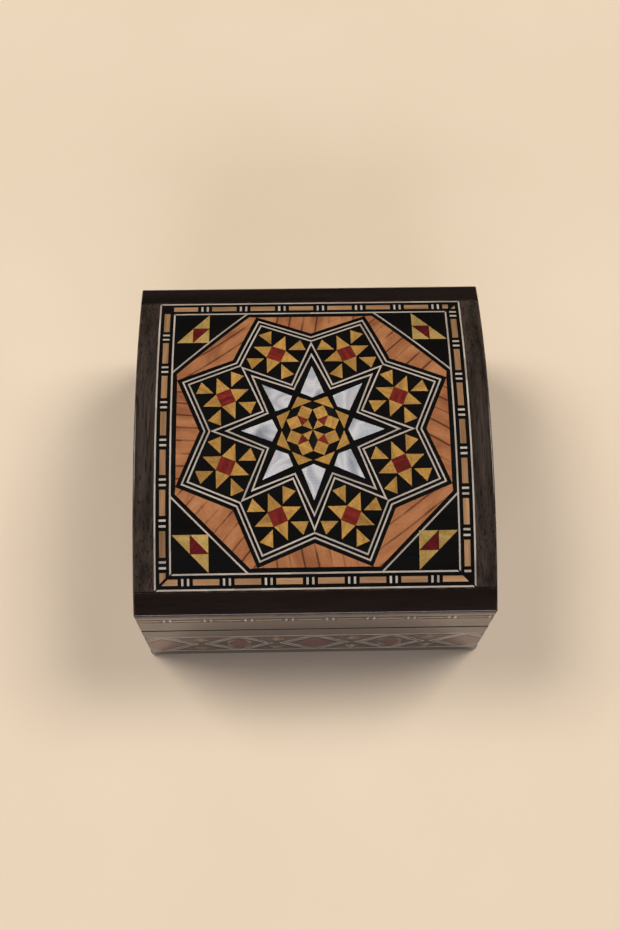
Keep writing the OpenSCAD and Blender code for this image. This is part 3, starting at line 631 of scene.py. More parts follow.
def clip(outline, origin, inward):
    """The part of a convex outline on the inward side of a line."""
    kept = []
    for p, q in zip(outline, outline[1:] + outline[:1]):
        a, b = (p - origin).dot(inward), (q - origin).dot(inward)
        if a >= 0:
            kept.append(p)
        if a * b < 0:
            kept.append(p.lerp(q, a / (a - b)))
    return kept


def area(outline):
    """The area of an outline, below zero if it runs clockwise."""
    return sum(p.cross(q) for p, q in zip(outline, outline[1:] + outline[:1])) / 2


def shrunk(outline, gap=GLUE):
    """A convex outline with every side moved inwards by the gap."""
    outline = [Vector(p) for p in outline]
    if area(outline) < 0:
        outline.reverse()
    result = outline
    for p, q in zip(outline, outline[1:] + outline[:1]):
        inward = (q - p).orthogonal().normalized()
        result = clip(result, p + inward * gap, inward)
    return result


# %% Chips and strips
def chip(outline, grain=0.0, gap=GLUE):
    """An outline with the angle of its grain, in degrees."""
    return shrunk(outline, gap), grain


def turned(shapes, angle):
    """Chips turned about the centre of the pattern."""
    turn = Matrix.Rotation(radians(angle), 2)
    return [([turn @ p for p in outline], grain + angle) for outline, grain in shapes]


def moved(shapes, step):
    """Chips shifted by one step."""
    return [([p + Vector(step) for p in outline], grain) for outline, grain in shapes]


def within(shapes, low, high, axis=0):
    """Chips cut off at two limits along one axis."""
    inward = Vector((1, 0)) if axis == 0 else Vector((0, 1))
    kept = []
    for outline, grain in shapes:
        outline = clip(clip(outline, inward * low, inward), inward * high, -inward)
        if len(outline) > 2 and abs(area(outline)) > SPLINTER:
            kept.append((outline, grain))
    return kept


def bar(p, q, width):
    """A straight strip from p to q, with its grain along it."""
    p, q = Vector(p), Vector(q)
    side = (q - p).orthogonal().normalized() * width / 2
    along = q - p
    return [p - side, q - side, q + side, p + side], degrees(Vector((1, 0)).angle_signed(along)) * -1


def ring(corners, width):
    """Mitred strips round a closed line."""
    corners = [Vector(c) for c in corners]
    normals = [(q - p).orthogonal().normalized() for p, q in zip(corners, corners[1:] + corners[:1])]
    mitres = [(a + b) / (1 + a.dot(b)) * width / 2 for a, b in zip(normals[-1:] + normals[:-1], normals)]
    strips = []
    for i, p in enumerate(corners):
        j = (i + 1) % len(corners)
        q = corners[j]
        grain = degrees(np.arctan2(*(q - p).yx))
        strips.append(([p - mitres[i], q - mitres[j], q + mitres[j], p + mitres[i]], grain))
    return strips


# %% From a drawing to inlay on the lid
def drawing(name, shapes):
    """A flat mesh of chips with UVs in millimetres along and across the grain."""
    mesh = bpy.data.meshes.new(name)
    points, faces, coordinates = [], [], []
    for outline, grain in shapes:
        if area(outline) < 0:
            outline = outline[::-1]
        faces.append(range(len(points), len(points) + len(outline)))
        points += [(p.x, p.y, 0.0) for p in outline]
        along = polar(1, grain)
        coordinates += [(p.dot(along), along.cross(p)) for p in outline]
    mesh.from_pydata(points, [], [list(f) for f in faces])
    uv = mesh.uv_layers.new(name="UVMap")
    for loop, pair in zip(uv.data, coordinates):
        loop.uv = pair
    return new_piece(name, mesh)


def lay(name, shapes, material, slot, replaced=(), copies=1, cuts=2, seed=1):
    """Chips laid on the lid's arch, copied evenly round the centre."""
    piece = drawing(name, shapes)
    run_tree(piece, inlay_on_lid, {"Copies": copies, "Turn": 2 * pi / copies, "Cuts": cuts, "Depth": 1.0,
             "Seed": seed, "Across": unit, "Along": unit_along, "Material": material})
    print(f"{name}: {len(piece.data.polygons)} faces")
    declare(piece, "lid", slot, *replaced)


# %% [markdown]
# ## The ground and the edge bands of the lid
# Four dark bands frame the lid. Front and back run the full width, and the side ones fit
# between them. Their outer arrises are eased with a few strokes of the plane, so a thin
# highlight runs round the lid. Inside them lies one black ground, and the chips are let in.

# %% Slabs on the lid
ARRIS = 0.6
SLICE = 2.5
GROUND_LOW = 0.03
VENEER = 1.5
NEAR = 0.01
SAME = 1e-5
wide = half_w / MM
long_s = arch_r * asin(half_d / arch_r) / MM
frame_s = arch_r * asin(frame_y / arch_r) / MM
frame_w = frame_x / MM


def eased(bm, chosen, radius):
    """Rounds the chosen edges and marks the new faces as arris."""
    mark = bm.faces.layers.float.get("arris") or bm.faces.layers.float.new("arris")
    edges = [e for e in bm.edges if chosen(e)]
    made = bmesh.ops.bevel(bm, geom=edges, offset=radius, segments=3, profile=0.5, affect="EDGES",
                           clamp_overlap=True)
    for face in made["faces"]:
        face[mark] = 1.0
    return len(edges)


def sliced(bm, low, high, step=SLICE):
    """Cuts a mesh across y, so that it can bend."""
    at = low + step
    while at < high:
        everything = bm.verts[:] + bm.edges[:] + bm.faces[:]
        bmesh.ops.bisect_plane(bm, geom=everything, plane_co=(0, at, 0), plane_no=(0, 1, 0), dist=SAME)
        at += step


def box_mesh(bm, low, high):
    """A box between two corners."""
    size = Vector(high) - Vector(low)
    middle = (Vector(high) + Vector(low)) / 2
    bmesh.ops.create_cube(bm, size=1, matrix=Matrix.Translation(middle) @ Matrix.Diagonal((*size, 1)))


def slab(name, x0, x1, s0, s1, material, slot, replaced, top=0.0):
    """A flat slab with eased outer arrises, bent over the arch."""
    bm = bmesh.new()
    box_mesh(bm, (x0, s0, -VENEER), (x1, s1, top))

    def outside(v):
        return abs(abs(v.co.x) - wide) < NEAR, abs(abs(v.co.y) - long_s) < NEAR

    def outer(e):
        (ax, ay), (bx, by) = (outside(v) for v in e.verts)
        upright = ax and ay and bx and by
        on_top = min(v.co.z for v in e.verts) > top - NEAR
        return upright or on_top and (ax and bx or ay and by)

    eased(bm, outer, ARRIS)
    sliced(bm, s0, s1)
    piece = new_piece(name, mesh_from(bm, name))
    run_tree(piece, slab_on_lid, {"Material": material})
    weigh(piece)
    declare(piece, "lid", slot, *replaced)


EDGE_BANDS = [("front", -wide, wide, -long_s, -frame_s, edge_front),
              ("back", -wide, wide, frame_s, long_s, edge_front),
              ("left", -wide, -frame_w, -frame_s, frame_s, edge_side),
              ("right", frame_w, wide, -frame_s, frame_s, edge_side)]
for side, x0, x1, s0, s1, material in EDGE_BANDS:
    slab("edge_band_" + side, x0, x1, s0, s1, material, "ebony_band", ["top_band_" + side])
slab("star_ground", -frame_w, frame_w, -frame_s, frame_s, black_ground, "ebony_ground",
     ["ebony_ground", "corner_panels"], top=-GROUND_LOW)

# %% [markdown]
# ## The dashed frame
# Two white strings run round the lid with a strip of dashes between them. The dashes are tan
# pearwood. Between two dashes a black block carries two short white bars, like rungs.
# The strip is bought by length and cut to fit, so the dashes start anywhere on each side.

# %% Dashed strips
LINE = 0.55
OUTER = 52.7
INNER = 47.65
STRIP_MID = 50.17
DASH_W = 2.0
GROUP = 5.0
RUNG_AT = 0.95
RUNG = (0.72, 2.3)


def dashed(first, pitch, low, high, width=DASH_W, group=GROUP, rung=RUNG, rung_at=RUNG_AT):
    """A strip along x between two limits: its dashes, and the pairs of rungs between them."""
    centres = []
    at = first - pitch
    while at < high + pitch:
        centres.append(at)
        at += pitch
    dashes = [bar((a + group / 2, 0), (b - group / 2, 0), width) for a, b in zip(centres, centres[1:])]
    outline, _ = bar((-rung[0] / 2, 0), (rung[0] / 2, 0), rung[1])
    places = [Vector((c + side * rung_at, 0)) for c in centres for side in (-1, 1)]
    rungs = [([p + at for p in outline], 90) for at in places]
    return within(dashes, low, high), within(rungs, low, high)


# each side of the frame: first group, pitch, limits, and the turn that brings it into place
SIDES = [(-42.75, 13.70, -51.3, 51.3, 0), (-48.70, 13.60, -48.9, 51.3, 90),
         (-44.30, 13.57, -48.8, 48.0, 180), (-36.98, 13.58, -48.0, 51.3, 270)]
MITRE = 0.45


def mitred(shapes, gap=MITRE):
    """Chips of the front strip, cut off along the diagonals at both ends."""
    kept = []
    for outline, grain in shapes:
        for way in (1, -1):
            inward = Vector((way, -1)).normalized()
            outline = clip(outline, inward * gap, inward)
        if len(outline) > 2 and abs(area(outline)) > 2.5 * SPLINTER:
            kept.append((outline, grain))
    return kept


# %% The frame laid
frame_dashes, frame_rungs = [], []
for first, pitch, low_end, high_end, angle in SIDES:
    dashes, rungs = dashed(first, pitch, low_end, high_end)
    frame_dashes += turned(mitred(moved(dashes, (0, -STRIP_MID))), angle)
    frame_rungs += turned(mitred(moved(rungs, (0, -STRIP_MID))), angle)


def square(half):
    """The corners of a square about the centre."""
    return [Vector((x * half, y * half)) for x, y in ((-1, -1), (1, -1), (1, 1), (-1, 1))]


def in_lengths(strips, count):
    """Long strips cut into shorter ones end to end, so that each can bend."""
    cut = []
    for (a, b, c, d), grain in strips:
        for i in range(count):
            t, u = i / count, (i + 1) / count
            cut.append(([a.lerp(b, t), a.lerp(b, u), d.lerp(c, u), d.lerp(c, t)], grain))
    return cut


# the mitres of the strings are tight at the back and at the right, and open at the front left
CORNER_GAPS = (0.4, 0.12, 0.2, 0.12)
frame_lines = []
for k, gap in enumerate(CORNER_GAPS):
    strips = [bar((-at - LINE, -at), (at + LINE, -at), LINE) for at in (OUTER, INNER)]
    frame_lines += turned(mitred(in_lengths(strips, 12), gap), 90 * k)
lay("frame_dashes", frame_dashes, tan_wood, "border_strip", ["border_front", "border_back"], seed=3)
lay("frame_rungs", frame_rungs, string_wood, "border_strip", ["border_left", "border_right"], cuts=1, seed=4)
lay("frame_lines", frame_lines, string_wood, "white_string", seed=5)

# %% [markdown]
# ## The star
# Eight points, drawn twice. The outer star is made of two white strings, the inner one has
# longer, sharper points. A diagonal string cuts off each corner of the ground.

# %% Strings of the star
STEP = 45
HALF_STEP = 22.5
VALLEY = sin(radians(45)) / sin(radians(67.5))
OUTER_STARS = [47.4, 45.3]
INNER_STARS = [(33.6, 18.0), (28.9, 16.3)]
CORNER_LINE = 49.3


def star(tip, valley, first):
    """Sixteen corners: tips at the first angle and every 45 degrees, valleys between them."""
    return [polar(tip if k % 2 == 0 else valley, first + HALF_STEP * k) for k in range(16)]


strings = [strip for tip in OUTER_STARS for strip in ring(star(tip, tip * VALLEY, HALF_STEP), LINE)]
strings += [strip for tip, valley in INNER_STARS for strip in ring(star(tip, valley, 0), LINE)]
middle_of_line = polar(CORNER_LINE, STEP)
reach = polar(60, -STEP)
diagonal = [bar(middle_of_line - reach, middle_of_line + reach, LINE)]
inside = INNER - LINE / 2
diagonal = within(within(diagonal, -inside, inside), -inside, inside, axis=1)
for corner in range(4):
    strings += turned(diagonal, 90 * corner)
lay("star_lines", strings, string_wood, "white_string", ["star_strings"], cuts=3, seed=6)

# %% [markdown]
# ## Olive wood, pearl and the eight tiles
# Plain fields of streaked olive wood fill the space round the star. Eight kites of
# mother-of-pearl sit in the inner star. Each tile holds a red square with yellow spikes.

# %% Fields, kites and tiles
BLACK_LINE = 1.3
WIDE_GLUE = 0.12
edge_of_fields = INNER - LINE / 2 - BLACK_LINE
field_tip = OUTER_STARS[0] + (LINE / 2 + BLACK_LINE) * sqrt(2)
cut = (CORNER_LINE - LINE / 2 - BLACK_LINE) * sqrt(2) - edge_of_fields
side_field = [polar(field_tip, 67.5), polar(field_tip * VALLEY, 90), polar(field_tip, 112.5)]
corner_field = [polar(field_tip, 22.5), (edge_of_fields, cut), (cut, edge_of_fields), polar(field_tip, 67.5),
                polar(field_tip * VALLEY, 45)]
# each kind: its outline, the grain of its four pieces anticlockwise from the back, and its seed
FIELDS = {"side": (side_field, (84, 172, 98, 152), 7), "corner": (corner_field, (46, 40, 52, 35), 8)}
for kind, (outline, grains, seed) in FIELDS.items():
    pieces = [turned([chip(outline, grain - 90 * k)], 90 * k)[0] for k, grain in enumerate(grains)]
    lay(f"olive_{kind}_panels", pieces, olive_wood, "olive", [f"olive_{kind}_fields"], cuts=4, seed=seed)

kite = [polar(24.4, 0), polar(14.2, 16.8), polar(11.7, 0), polar(14.2, -16.8)]
lay("pearl_pieces", [chip(kite, 0, WIDE_GLUE)], pearl_shell, "pearl", ["pearl_kites"], copies=8, seed=9)

TILE_R = 31.6
RED_SIDE = 5.1
SPIKE = 5.9
OUTER_SPIKE = (4.4, 10.05, 2.45)
half = RED_SIDE / 2
spike = chip([(half, -half), (half + SPIKE, 0), (half, half)], 0)
near, far, spread = OUTER_SPIKE
wedge = chip([(near, 0), (far, -spread), (far, spread)], 0)
tile_yellow = [s for k in range(4) for s in turned([spike], 45 + 90 * k) + turned([wedge], 90 * k)]
tile_red = turned([chip([Vector(p) for p in square(half)], 0)], 45)
tile_yellow, tile_red = (turned(moved(shapes, (TILE_R, 0)), HALF_STEP) for shapes in (tile_yellow, tile_red))
lay("tile_spikes", tile_yellow, yellow_wood, "light_marquetry", ["star_tiles"], copies=8, seed=10)
lay("tile_squares", tile_red, red_wood, "light_marquetry", copies=8, seed=11)

# %% [markdown]
# ## The rosette and the corner triangles
# Every side of every piece in the rosette is 4 mm long. Eight rhombs meet in the middle.
# The four on the diagonals are split into a yellow and a red triangle, and the other four
# are black ground. A ring of yellow squares follows, and eight yellow points close it.

# %% Rosette and corners
EDGE = 4.0
OCTAGON_R = EDGE * (1 + sqrt(2)) / cos(radians(22.5))
POINT_R = 13.3
a, b, c = (polar(EDGE, angle) for angle in (22.5, 67.5, -22.5))
zero = Vector((0, 0))
quarter_yellow = [chip([zero, a, b], 45)]
quarter_red = [chip([a, a + b, b], 45)]
ring_squares = [chip([a, a + c, a + b + c, a + b], 67.5)]
black_rhombs = [s for k in range(4) for s in turned([chip([zero, c, c + a, a], 0)], 90 * k)]
d = polar(EDGE, 112.5)
outer_rhombs = [chip([a + b, a + b + c, a + b + c + d, a + b + d], 45)]
black_rhombs += [s for k in range(8) for s in turned(outer_rhombs, 45 * k)]
ring_points = [chip([polar(OCTAGON_R, 0), polar(POINT_R, 22.5), polar(OCTAGON_R, 45)], 112.5, WIDE_GLUE)]
lay("rosette_hearts", quarter_yellow, yellow_wood, "light_marquetry", ["centre_rosette"], copies=4, cuts=1,
    seed=12)
lay("rosette_red", quarter_red, red_wood, "light_marquetry", copies=4, cuts=1, seed=13)
lay("rosette_squares", ring_squares, yellow_wood, "light_marquetry", copies=8, cuts=1, seed=14)
lay("rosette_black", black_rhombs, black_chip, "ebony_ground", cuts=1, seed=18)
lay("rosette_points", ring_points, yellow_wood, "light_marquetry", copies=8, seed=15)

# each corner: the quarter turn, the place of its right angle and its two legs
CORNERS = [(0, (35.3, 34.9), (11.9, 12.3)), (1, (34.4, 35.3), (12.9, 11.2)), (2, (35.0, 34.7), (12.2, 12.6)),
           (3, (34.3, 34.3), (12.9, 13.1))]
corner_yellow, corner_red = [], []
for quarter, at, (leg_a, leg_b) in CORNERS:
    p = Vector(at)
    q, r = p + Vector((leg_a, 0)), p + Vector((0, leg_b))
    mid_q, mid_r, mid_s = p.lerp(q, 0.5), p.lerp(r, 0.5), q.lerp(r, 0.5)
    yellow = [chip([p, mid_q, mid_r], 45), chip([mid_q, q, mid_s], 0), chip([mid_r, mid_s, r], 90)]
    corner_yellow += turned(yellow, 90 * quarter)
    corner_red += turned([chip([mid_q, mid_s, mid_r], 45)], 90 * quarter)
lay("corner_triangles", corner_yellow, corner_wood, "light_marquetry", seed=16)
lay("corner_hearts", corner_red, deep_red_wood, "light_marquetry", seed=17)

# %% [markdown]
# ## Walls, rails and the seams between them
# The case is plain joinery, so its parts keep the shape they have. Only the outer arrises
# change: a joiner takes them off with a block plane before the lacquer goes on, because
# lacquer won't hold on a sharp edge. Each part is copied, its flat faces are merged, and the
# chosen edges are rounded.


# %% Copies with eased arrises
def at_plane(value, half):
    """Whether a coordinate lies on one of two outer planes."""
    return abs(abs(value) - half) < TINY


def is_corner(edge):
    """An upright outer corner, or the short slope where it meets the bevel of the seam."""
    return all(abs(abs(v.co.x) - abs(v.co.y)) < TINY and abs(v.co.x) > half_w - 0.7 * MM for v in edge.verts)


def is_foot(edge):
    """An outer edge along the bottom of the base."""
    low = all(v.co.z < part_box("base_front_wall")[0].z + TINY for v in edge.verts)
    a, b = (v.co for v in edge.verts)
    outer = at_plane(a.x, half_w) and at_plane(b.x, half_w) or at_plane(a.y, half_d) and at_plane(b.y, half_d)
    return low and outer


def is_convex(edge):
    """An edge that stands out, not one that runs along a corner inside."""
    return len(edge.link_faces) == 2 and edge.calc_face_angle_signed(0) > radians(20)


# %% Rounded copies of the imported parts
def merged(node):
    """An editable copy of a node's mesh, with its flat faces joined."""
    bm = bmesh.new()
    bm.from_mesh(nodes[node].data)
    bmesh.ops.remove_doubles(bm, verts=bm.verts, dist=MERGE)
    bmesh.ops.dissolve_limit(bm, angle_limit=radians(1), verts=bm.verts, edges=bm.edges)
    bm.normal_update()
    return bm


def softened(name, node, rule, sink=0.0):
    """A copy of a node with the chosen edges rounded, and its outer faces let in by the sink."""
    bm = merged(node)
    for v in bm.verts:
        for axis, half in ((0, half_w), (1, half_d)):
            if at_plane(v.co[axis], half):
                v.co[axis] *= 1 - sink * MM / half
    count = eased(bm, lambda e: is_convex(e) and rule(e), ARRIS * MM)
    return finished(name, bm, count)


def finished(name, bm, count):
    """A mesh made into an object, smooth over its small curves and crisp at its edges."""
    mesh = mesh_from(bm, name)
    mesh.shade_smooth()
    mesh.set_sharp_from_angle(angle=CREASE)
    piece = new_piece(name, mesh)
    weigh(piece)
    print(f"{name}: {count} edges rounded, {len(piece.data.polygons)} faces")
    return piece


def outer_edges(edge):
    """The edges of the case that a hand touches."""
    return is_corner(edge) or is_foot(edge)


def dress(piece, material):
    """Gives a piece one material."""
    piece.data.materials.clear()
    piece.data.materials.append(material)
    return piece


# %% Timbers of the case and the lid
CASE_PARTS = [("base_front_wall", walnut_x, "case"), ("base_back_wall", walnut_x, "case"),
              ("base_left_wall", walnut_y, "case"), ("base_right_wall", walnut_y, "case"),
              ("drawer_front", walnut_y, "key_drawer"), ("lid_front_rail", walnut_x, "lid"),
              ("lid_back_rail", walnut_x, "lid"), ("lid_left_end", walnut_y, "lid"),
              ("lid_right_end", walnut_y, "lid")]
for node, material, body in CASE_PARTS:
    declare(dress(softened(node + "_eased", node, outer_edges), material), body, "walnut", node)

# the grounds of the bands lie a hair lower than the chips that are let into them
SINK = 0.04
SUNK = [("panel_mosaic", band_ground, "front_panel", "mosaic_band"),
        ("back_mosaic_band", band_ground, "case", "mosaic_band"),
        ("left_mosaic_band", band_ground_y, "case", "mosaic_band"),
        ("right_mosaic_band", band_ground_y, "case", "mosaic_band"),
        ("lid_inlaid_lines", black_ground, "lid", "border_strip")]
for node, material, body, slot in SUNK:
    declare(dress(softened(node + "_ground", node, is_corner, sink=SINK), material), body, slot, node)

# %% [markdown]
# ## The mosaic bands and the line round the lid
# The band is a run of diamonds between two white strings. Every other diamond is solid
# wine-red wood, and the ones between hold a small diamond with yellow corners. Where two
# diamonds meet, a yellow kite sits above and below, between two red-brown triangles.

# %% One repeat of the band, about its own middle
PERIOD = 26.9
BAND_LINE = 0.5
band_mid = sum(v.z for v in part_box("back_mosaic_band")) / 2 / MM
DIAMONDS = (12.3, 10.1)
EDGE_LINE = 10.95


def diamond(half_t, half_h):
    """A diamond from its half width and half height."""
    return [Vector((half_t, 0)), Vector((0, half_h)), Vector((-half_t, 0)), Vector((0, -half_h))]


def both_ways(outline, grain=0.0):
    """A chip and its mirror images to the other side, below, and both."""
    outline = [Vector(p) for p in outline]
    return [chip([Vector((p.x * sx, p.y * sy)) for p in outline], grain) for sx in (1, -1) for sy in (1, -1)]


def up_and_down(outline, grain=90.0):
    """A chip and its mirror image below."""
    return [chip([Vector((p[0], p[1] * s)) for p in outline], grain) for s in (1, -1)]


def band_lines():
    """The white diamonds of the whole band and its two edge strings."""
    shapes = []
    for k in REPEATS:
        for reach in DIAMONDS:
            shapes += moved(in_lengths(ring(diamond(reach, reach), BAND_LINE), 2), (k * PERIOD, 0))
    shapes = within(shapes, -EDGE_LINE + BAND_LINE / 2, EDGE_LINE - BAND_LINE / 2, axis=1)
    for h in (EDGE_LINE, -EDGE_LINE):
        shapes += in_lengths([bar((-70, h), (70, h), BAND_LINE)], 24)
    return shapes


wine_diamond = [chip(diamond(7.7, 7.7), 0)]
small_diamond = [chip(diamond(3.6, 7.0), 90)]
yellow_corners = both_ways([(4.2, 4.8), (0.62, 5.9), (3.66, 0.4), (4.2, 0.4)])
kites = up_and_down([(0, 10.1), (-3.4, 5.3), (0, 3.9), (3.4, 5.3)])
flank = both_ways([(4.1, 5.4), (7.4, 8.6), (3.0, 9.9), (1.1, 9.9)], 45)
REPEATS = range(-3, 4)


def repeated(chips_of_one, places):
    """One repeat's chips at several places along the band, counted in repeats."""
    return [shape for k in places for shape in moved(chips_of_one, (k * PERIOD, 0))]


even = [k for k in REPEATS if k % 2 == 0]
odd = [k for k in REPEATS if k % 2]
between = [k + 0.5 for k in REPEATS]
PARTS = {"wine": (repeated(wine_diamond, even), deep_red_wood),
         "small": (repeated(small_diamond, odd), deep_red_wood),
         "corners": (repeated(yellow_corners, odd), dull_yellow),
         "kites": (repeated(kites, between), dull_yellow),
         "flanks": (repeated(flank, between), deep_red_wood)}


# %% The band on all four sides
BAND_DEEP = 0.6
CORNER_CLEAR = 0.75


def let_in(name, shapes, material, body, slot, side, height, depth, seed):
    """Chips let into one of the four sides: 0 is the front, then right, back and left."""
    piece = drawing(name, shapes)
    run_tree(piece, inlay_in_wall, {"Copies": 1, "Cuts": 0, "Depth": depth, "Seed": seed,
             "Distance": half_d if side % 2 == 0 else half_w, "Height": height * MM,
             "Side": side * pi / 2, "Material": material})
    declare(piece, body, slot)


BAND_SIDES = {"front": (0, "front_panel", -60, 60), "right": (1, "case", -56, 58.9),
              "back": (2, "case", -60, 60), "left": (3, "case", -58.9, 56)}
for side_name, (side, body, low, high) in BAND_SIDES.items():
    low, high = low + CORNER_CLEAR, high - CORNER_CLEAR
    for part, (shapes, material) in PARTS.items():
        let_in(f"{side_name}_band_{part}", within(shapes, low, high), material, body, "mosaic_band", side,
               band_mid, BAND_DEEP, 20 + side)
    lines = within(band_lines(), low, high)
    let_in(f"{side_name}_band_lines", lines, string_wood, body, "white_string", side, band_mid, BAND_DEEP,
           30 + side)
    print(f"{side_name} band laid from {low} to {high} mm")

# %% The line round the lid
line_mid = sum(v.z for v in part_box("lid_inlaid_lines")) / 2 / MM
LID_LINE_W = 1.3
LID_RUNG = (0.75, 2.5)
LID_RUNG_AT = 1.05
LID_GROUP = 5.2
LID_PITCH = 13.6
LID_FIRST = -49.5
LID_LINE_DEEP = 0.5
for side, side_name in enumerate(("front", "right", "back", "left")):
    limit = (half_w if side % 2 == 0 else half_d) / MM - CORNER_CLEAR
    dashes, rungs = dashed(LID_FIRST, LID_PITCH, -limit, limit, LID_LINE_W, LID_GROUP, LID_RUNG, LID_RUNG_AT)
    let_in(f"{side_name}_line_dashes", dashes, pale_line, "lid", "border_strip", side, line_mid,
           LID_LINE_DEEP, 40 + side)
    let_in(f"{side_name}_line_rungs", rungs, string_wood, "lid", "white_string", side, line_mid,
           LID_LINE_DEEP, 50 + side)

# %% [markdown]
# ## Velvet inside the box
# The floor holds a thin pad: foam and card wrapped in velvet, pulled tight and tucked under,
# so it crowns in the middle and draws in along its sides. Cloth simulation makes that shape.
# It runs at a larger size, because the solver likes metres, and is then brought to scale.


# %% The floor pad, by cloth simulation
PAD_CELLS = 36
PAD_SCALE = 20.0
PAD_DRAW = 1.1
PAD_CUT = 0.985
PAD_THIN = 0.45
PAD_FILL = (0.4985, 0.98)
UNDERSIDE = 0.12
SIM_FRAMES = 20
pad_low, pad_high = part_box("floor_pad")


def flat_pad(cells):
    """A thin closed box of cloth, finely divided, at the size of the simulation."""
    size = (pad_high - pad_low) * PAD_SCALE
    bm = bmesh.new()
    bmesh.ops.create_grid(bm, x_segments=cells, y_segments=cells, size=0.5)
    for v in bm.verts:
        v.co = (v.co.x * size.x * PAD_CUT, v.co.y * size.y * PAD_CUT, 0)
    top = bmesh.ops.extrude_face_region(bm, geom=bm.faces[:])
    for v in (item for item in top["geom"] if isinstance(item, bmesh.types.BMVert)):
        v.co.z += size.z * PAD_THIN
    bmesh.ops.recalc_face_normals(bm, faces=bm.faces[:])
    return new_piece("velvet_pad", mesh_from(bm, "velvet_pad"))


def inflate(piece, pressure=0.5):
    """Blows the cloth up for a few frames with gravity off, and keeps the shape."""
    settings = piece.modifiers.new("cloth", "CLOTH").settings
    settings.use_pressure = True
    settings.uniform_pressure_force = pressure
    settings.effector_weights.gravity = 0
    settings.tension_stiffness = settings.compression_stiffness = 60
    settings.bending_stiffness = 2.0
    settings.quality = 6
    piece.modifiers["cloth"].point_cache.frame_end = SIM_FRAMES
    for step in range(1, SIM_FRAMES + 1):
        bpy.context.scene.frame_set(step)
    mesh = evaluated(piece)
    piece.modifiers.clear()
    piece.data = mesh
    bpy.context.scene.frame_set(1)


def fit_pad(piece, before):
    """Brings the pad to its place: flat below, crowned above, drawn in a little, inside its own box."""
    after = np.array([v.co[:] for v in piece.data.vertices])
    drawn = (after - before)[:, :2]
    furthest = max(np.abs(drawn).max(), 1e-9)
    drawn *= min(1.0, PAD_DRAW * MM * PAD_SCALE / furthest)
    size = np.array(pad_high - pad_low)
    flat = (before[:, :2] + drawn) / np.abs(before[:, :2] + drawn).max(0)
    up = np.where(after[:, 2] < 0, UNDERSIDE, 1.0) * after[:, 2]
    up = (up - up.min()) / (up.max() - up.min())
    middle = np.array((pad_low + pad_high) / 2)
    wide_fill, high_fill = PAD_FILL
    for v, (x, y), z in zip(piece.data.vertices, flat, up):
        v.co = (middle[0] + x * size[0] * wide_fill, middle[1] + y * size[1] * wide_fill,
                pad_low.z + z * size[2] * high_fill)
    piece.data.shade_smooth()


# %% The pad made
pad = flat_pad(PAD_CELLS)
as_cut = np.array([v.co[:] for v in pad.data.vertices])
inflate(pad)
fit_pad(pad, as_cut)
declare(dress(pad, velvet), "case", "velvet", "floor_pad")
print("pad crown, in mm:", round((max(v.co.z for v in pad.data.vertices) - pad_low.z) / MM, 2))

# %% [markdown]
# The linings are velvet glued over card. Their rims turn over softly, and the surface is
# never quite flat, because the glue draws the card in unevenly.


# %% Linings
RIM = 0.3
CELL = 6.0
DIMPLE = 0.12
DIMPLE_WIDE = 14


def lining(name, node, body, slot, material):
    """A lining with turned rims and a slightly uneven surface, inside its own solid."""
    bm = merged(node)
    rims = [e for e in bm.edges if is_convex(e)]
    bmesh.ops.bevel(bm, geom=rims, offset=RIM * MM, segments=3, profile=0.5, affect="EDGES",
                    clamp_overlap=True)
    low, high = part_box(node)
    for axis in range(3):
        normal = Vector([1.0 if i == axis else 0.0 for i in range(3)])
        for i in range(1, int((high[axis] - low[axis]) / (CELL * MM)) + 1):
            everything = bm.verts[:] + bm.edges[:] + bm.faces[:]
            bmesh.ops.bisect_plane(bm, geom=everything, plane_co=normal * (low[axis] + i * CELL * MM),
                                   plane_no=normal, dist=MERGE)
    bm.normal_update()
    moves = [(v, v.normal * noise.noise(v.co / (DIMPLE_WIDE * MM)) * DIMPLE * MM) for v in bm.verts]
    for v, move in moves:
        v.co -= v.normal * DIMPLE * MM / 2 - move / 2
    piece = finished(name, bm, len(rims))
    declare(dress(piece, material), body, slot, node)


lining("base_lining", "base_velvet", "case", "velvet", velvet)
lining("lid_lining", "lid_velvet", "lid", "velvet", velvet)
lining("ceiling_lining", "lid_ceiling_velvet", "lid", "velvet", velvet)
lining("felt_under_base", "base_felt", "case", "felt", felt)

# %% [markdown]
# ## Screws
# Small brass wood screws with slotted countersunk heads hold the hinges, the lock and its
# staple. One screw is turned on the lathe as a profile, and the slot is a gap left in its
# head. Nodes put a copy at each screw hole, and each slot points its own way, because the
# screws are driven home by hand.


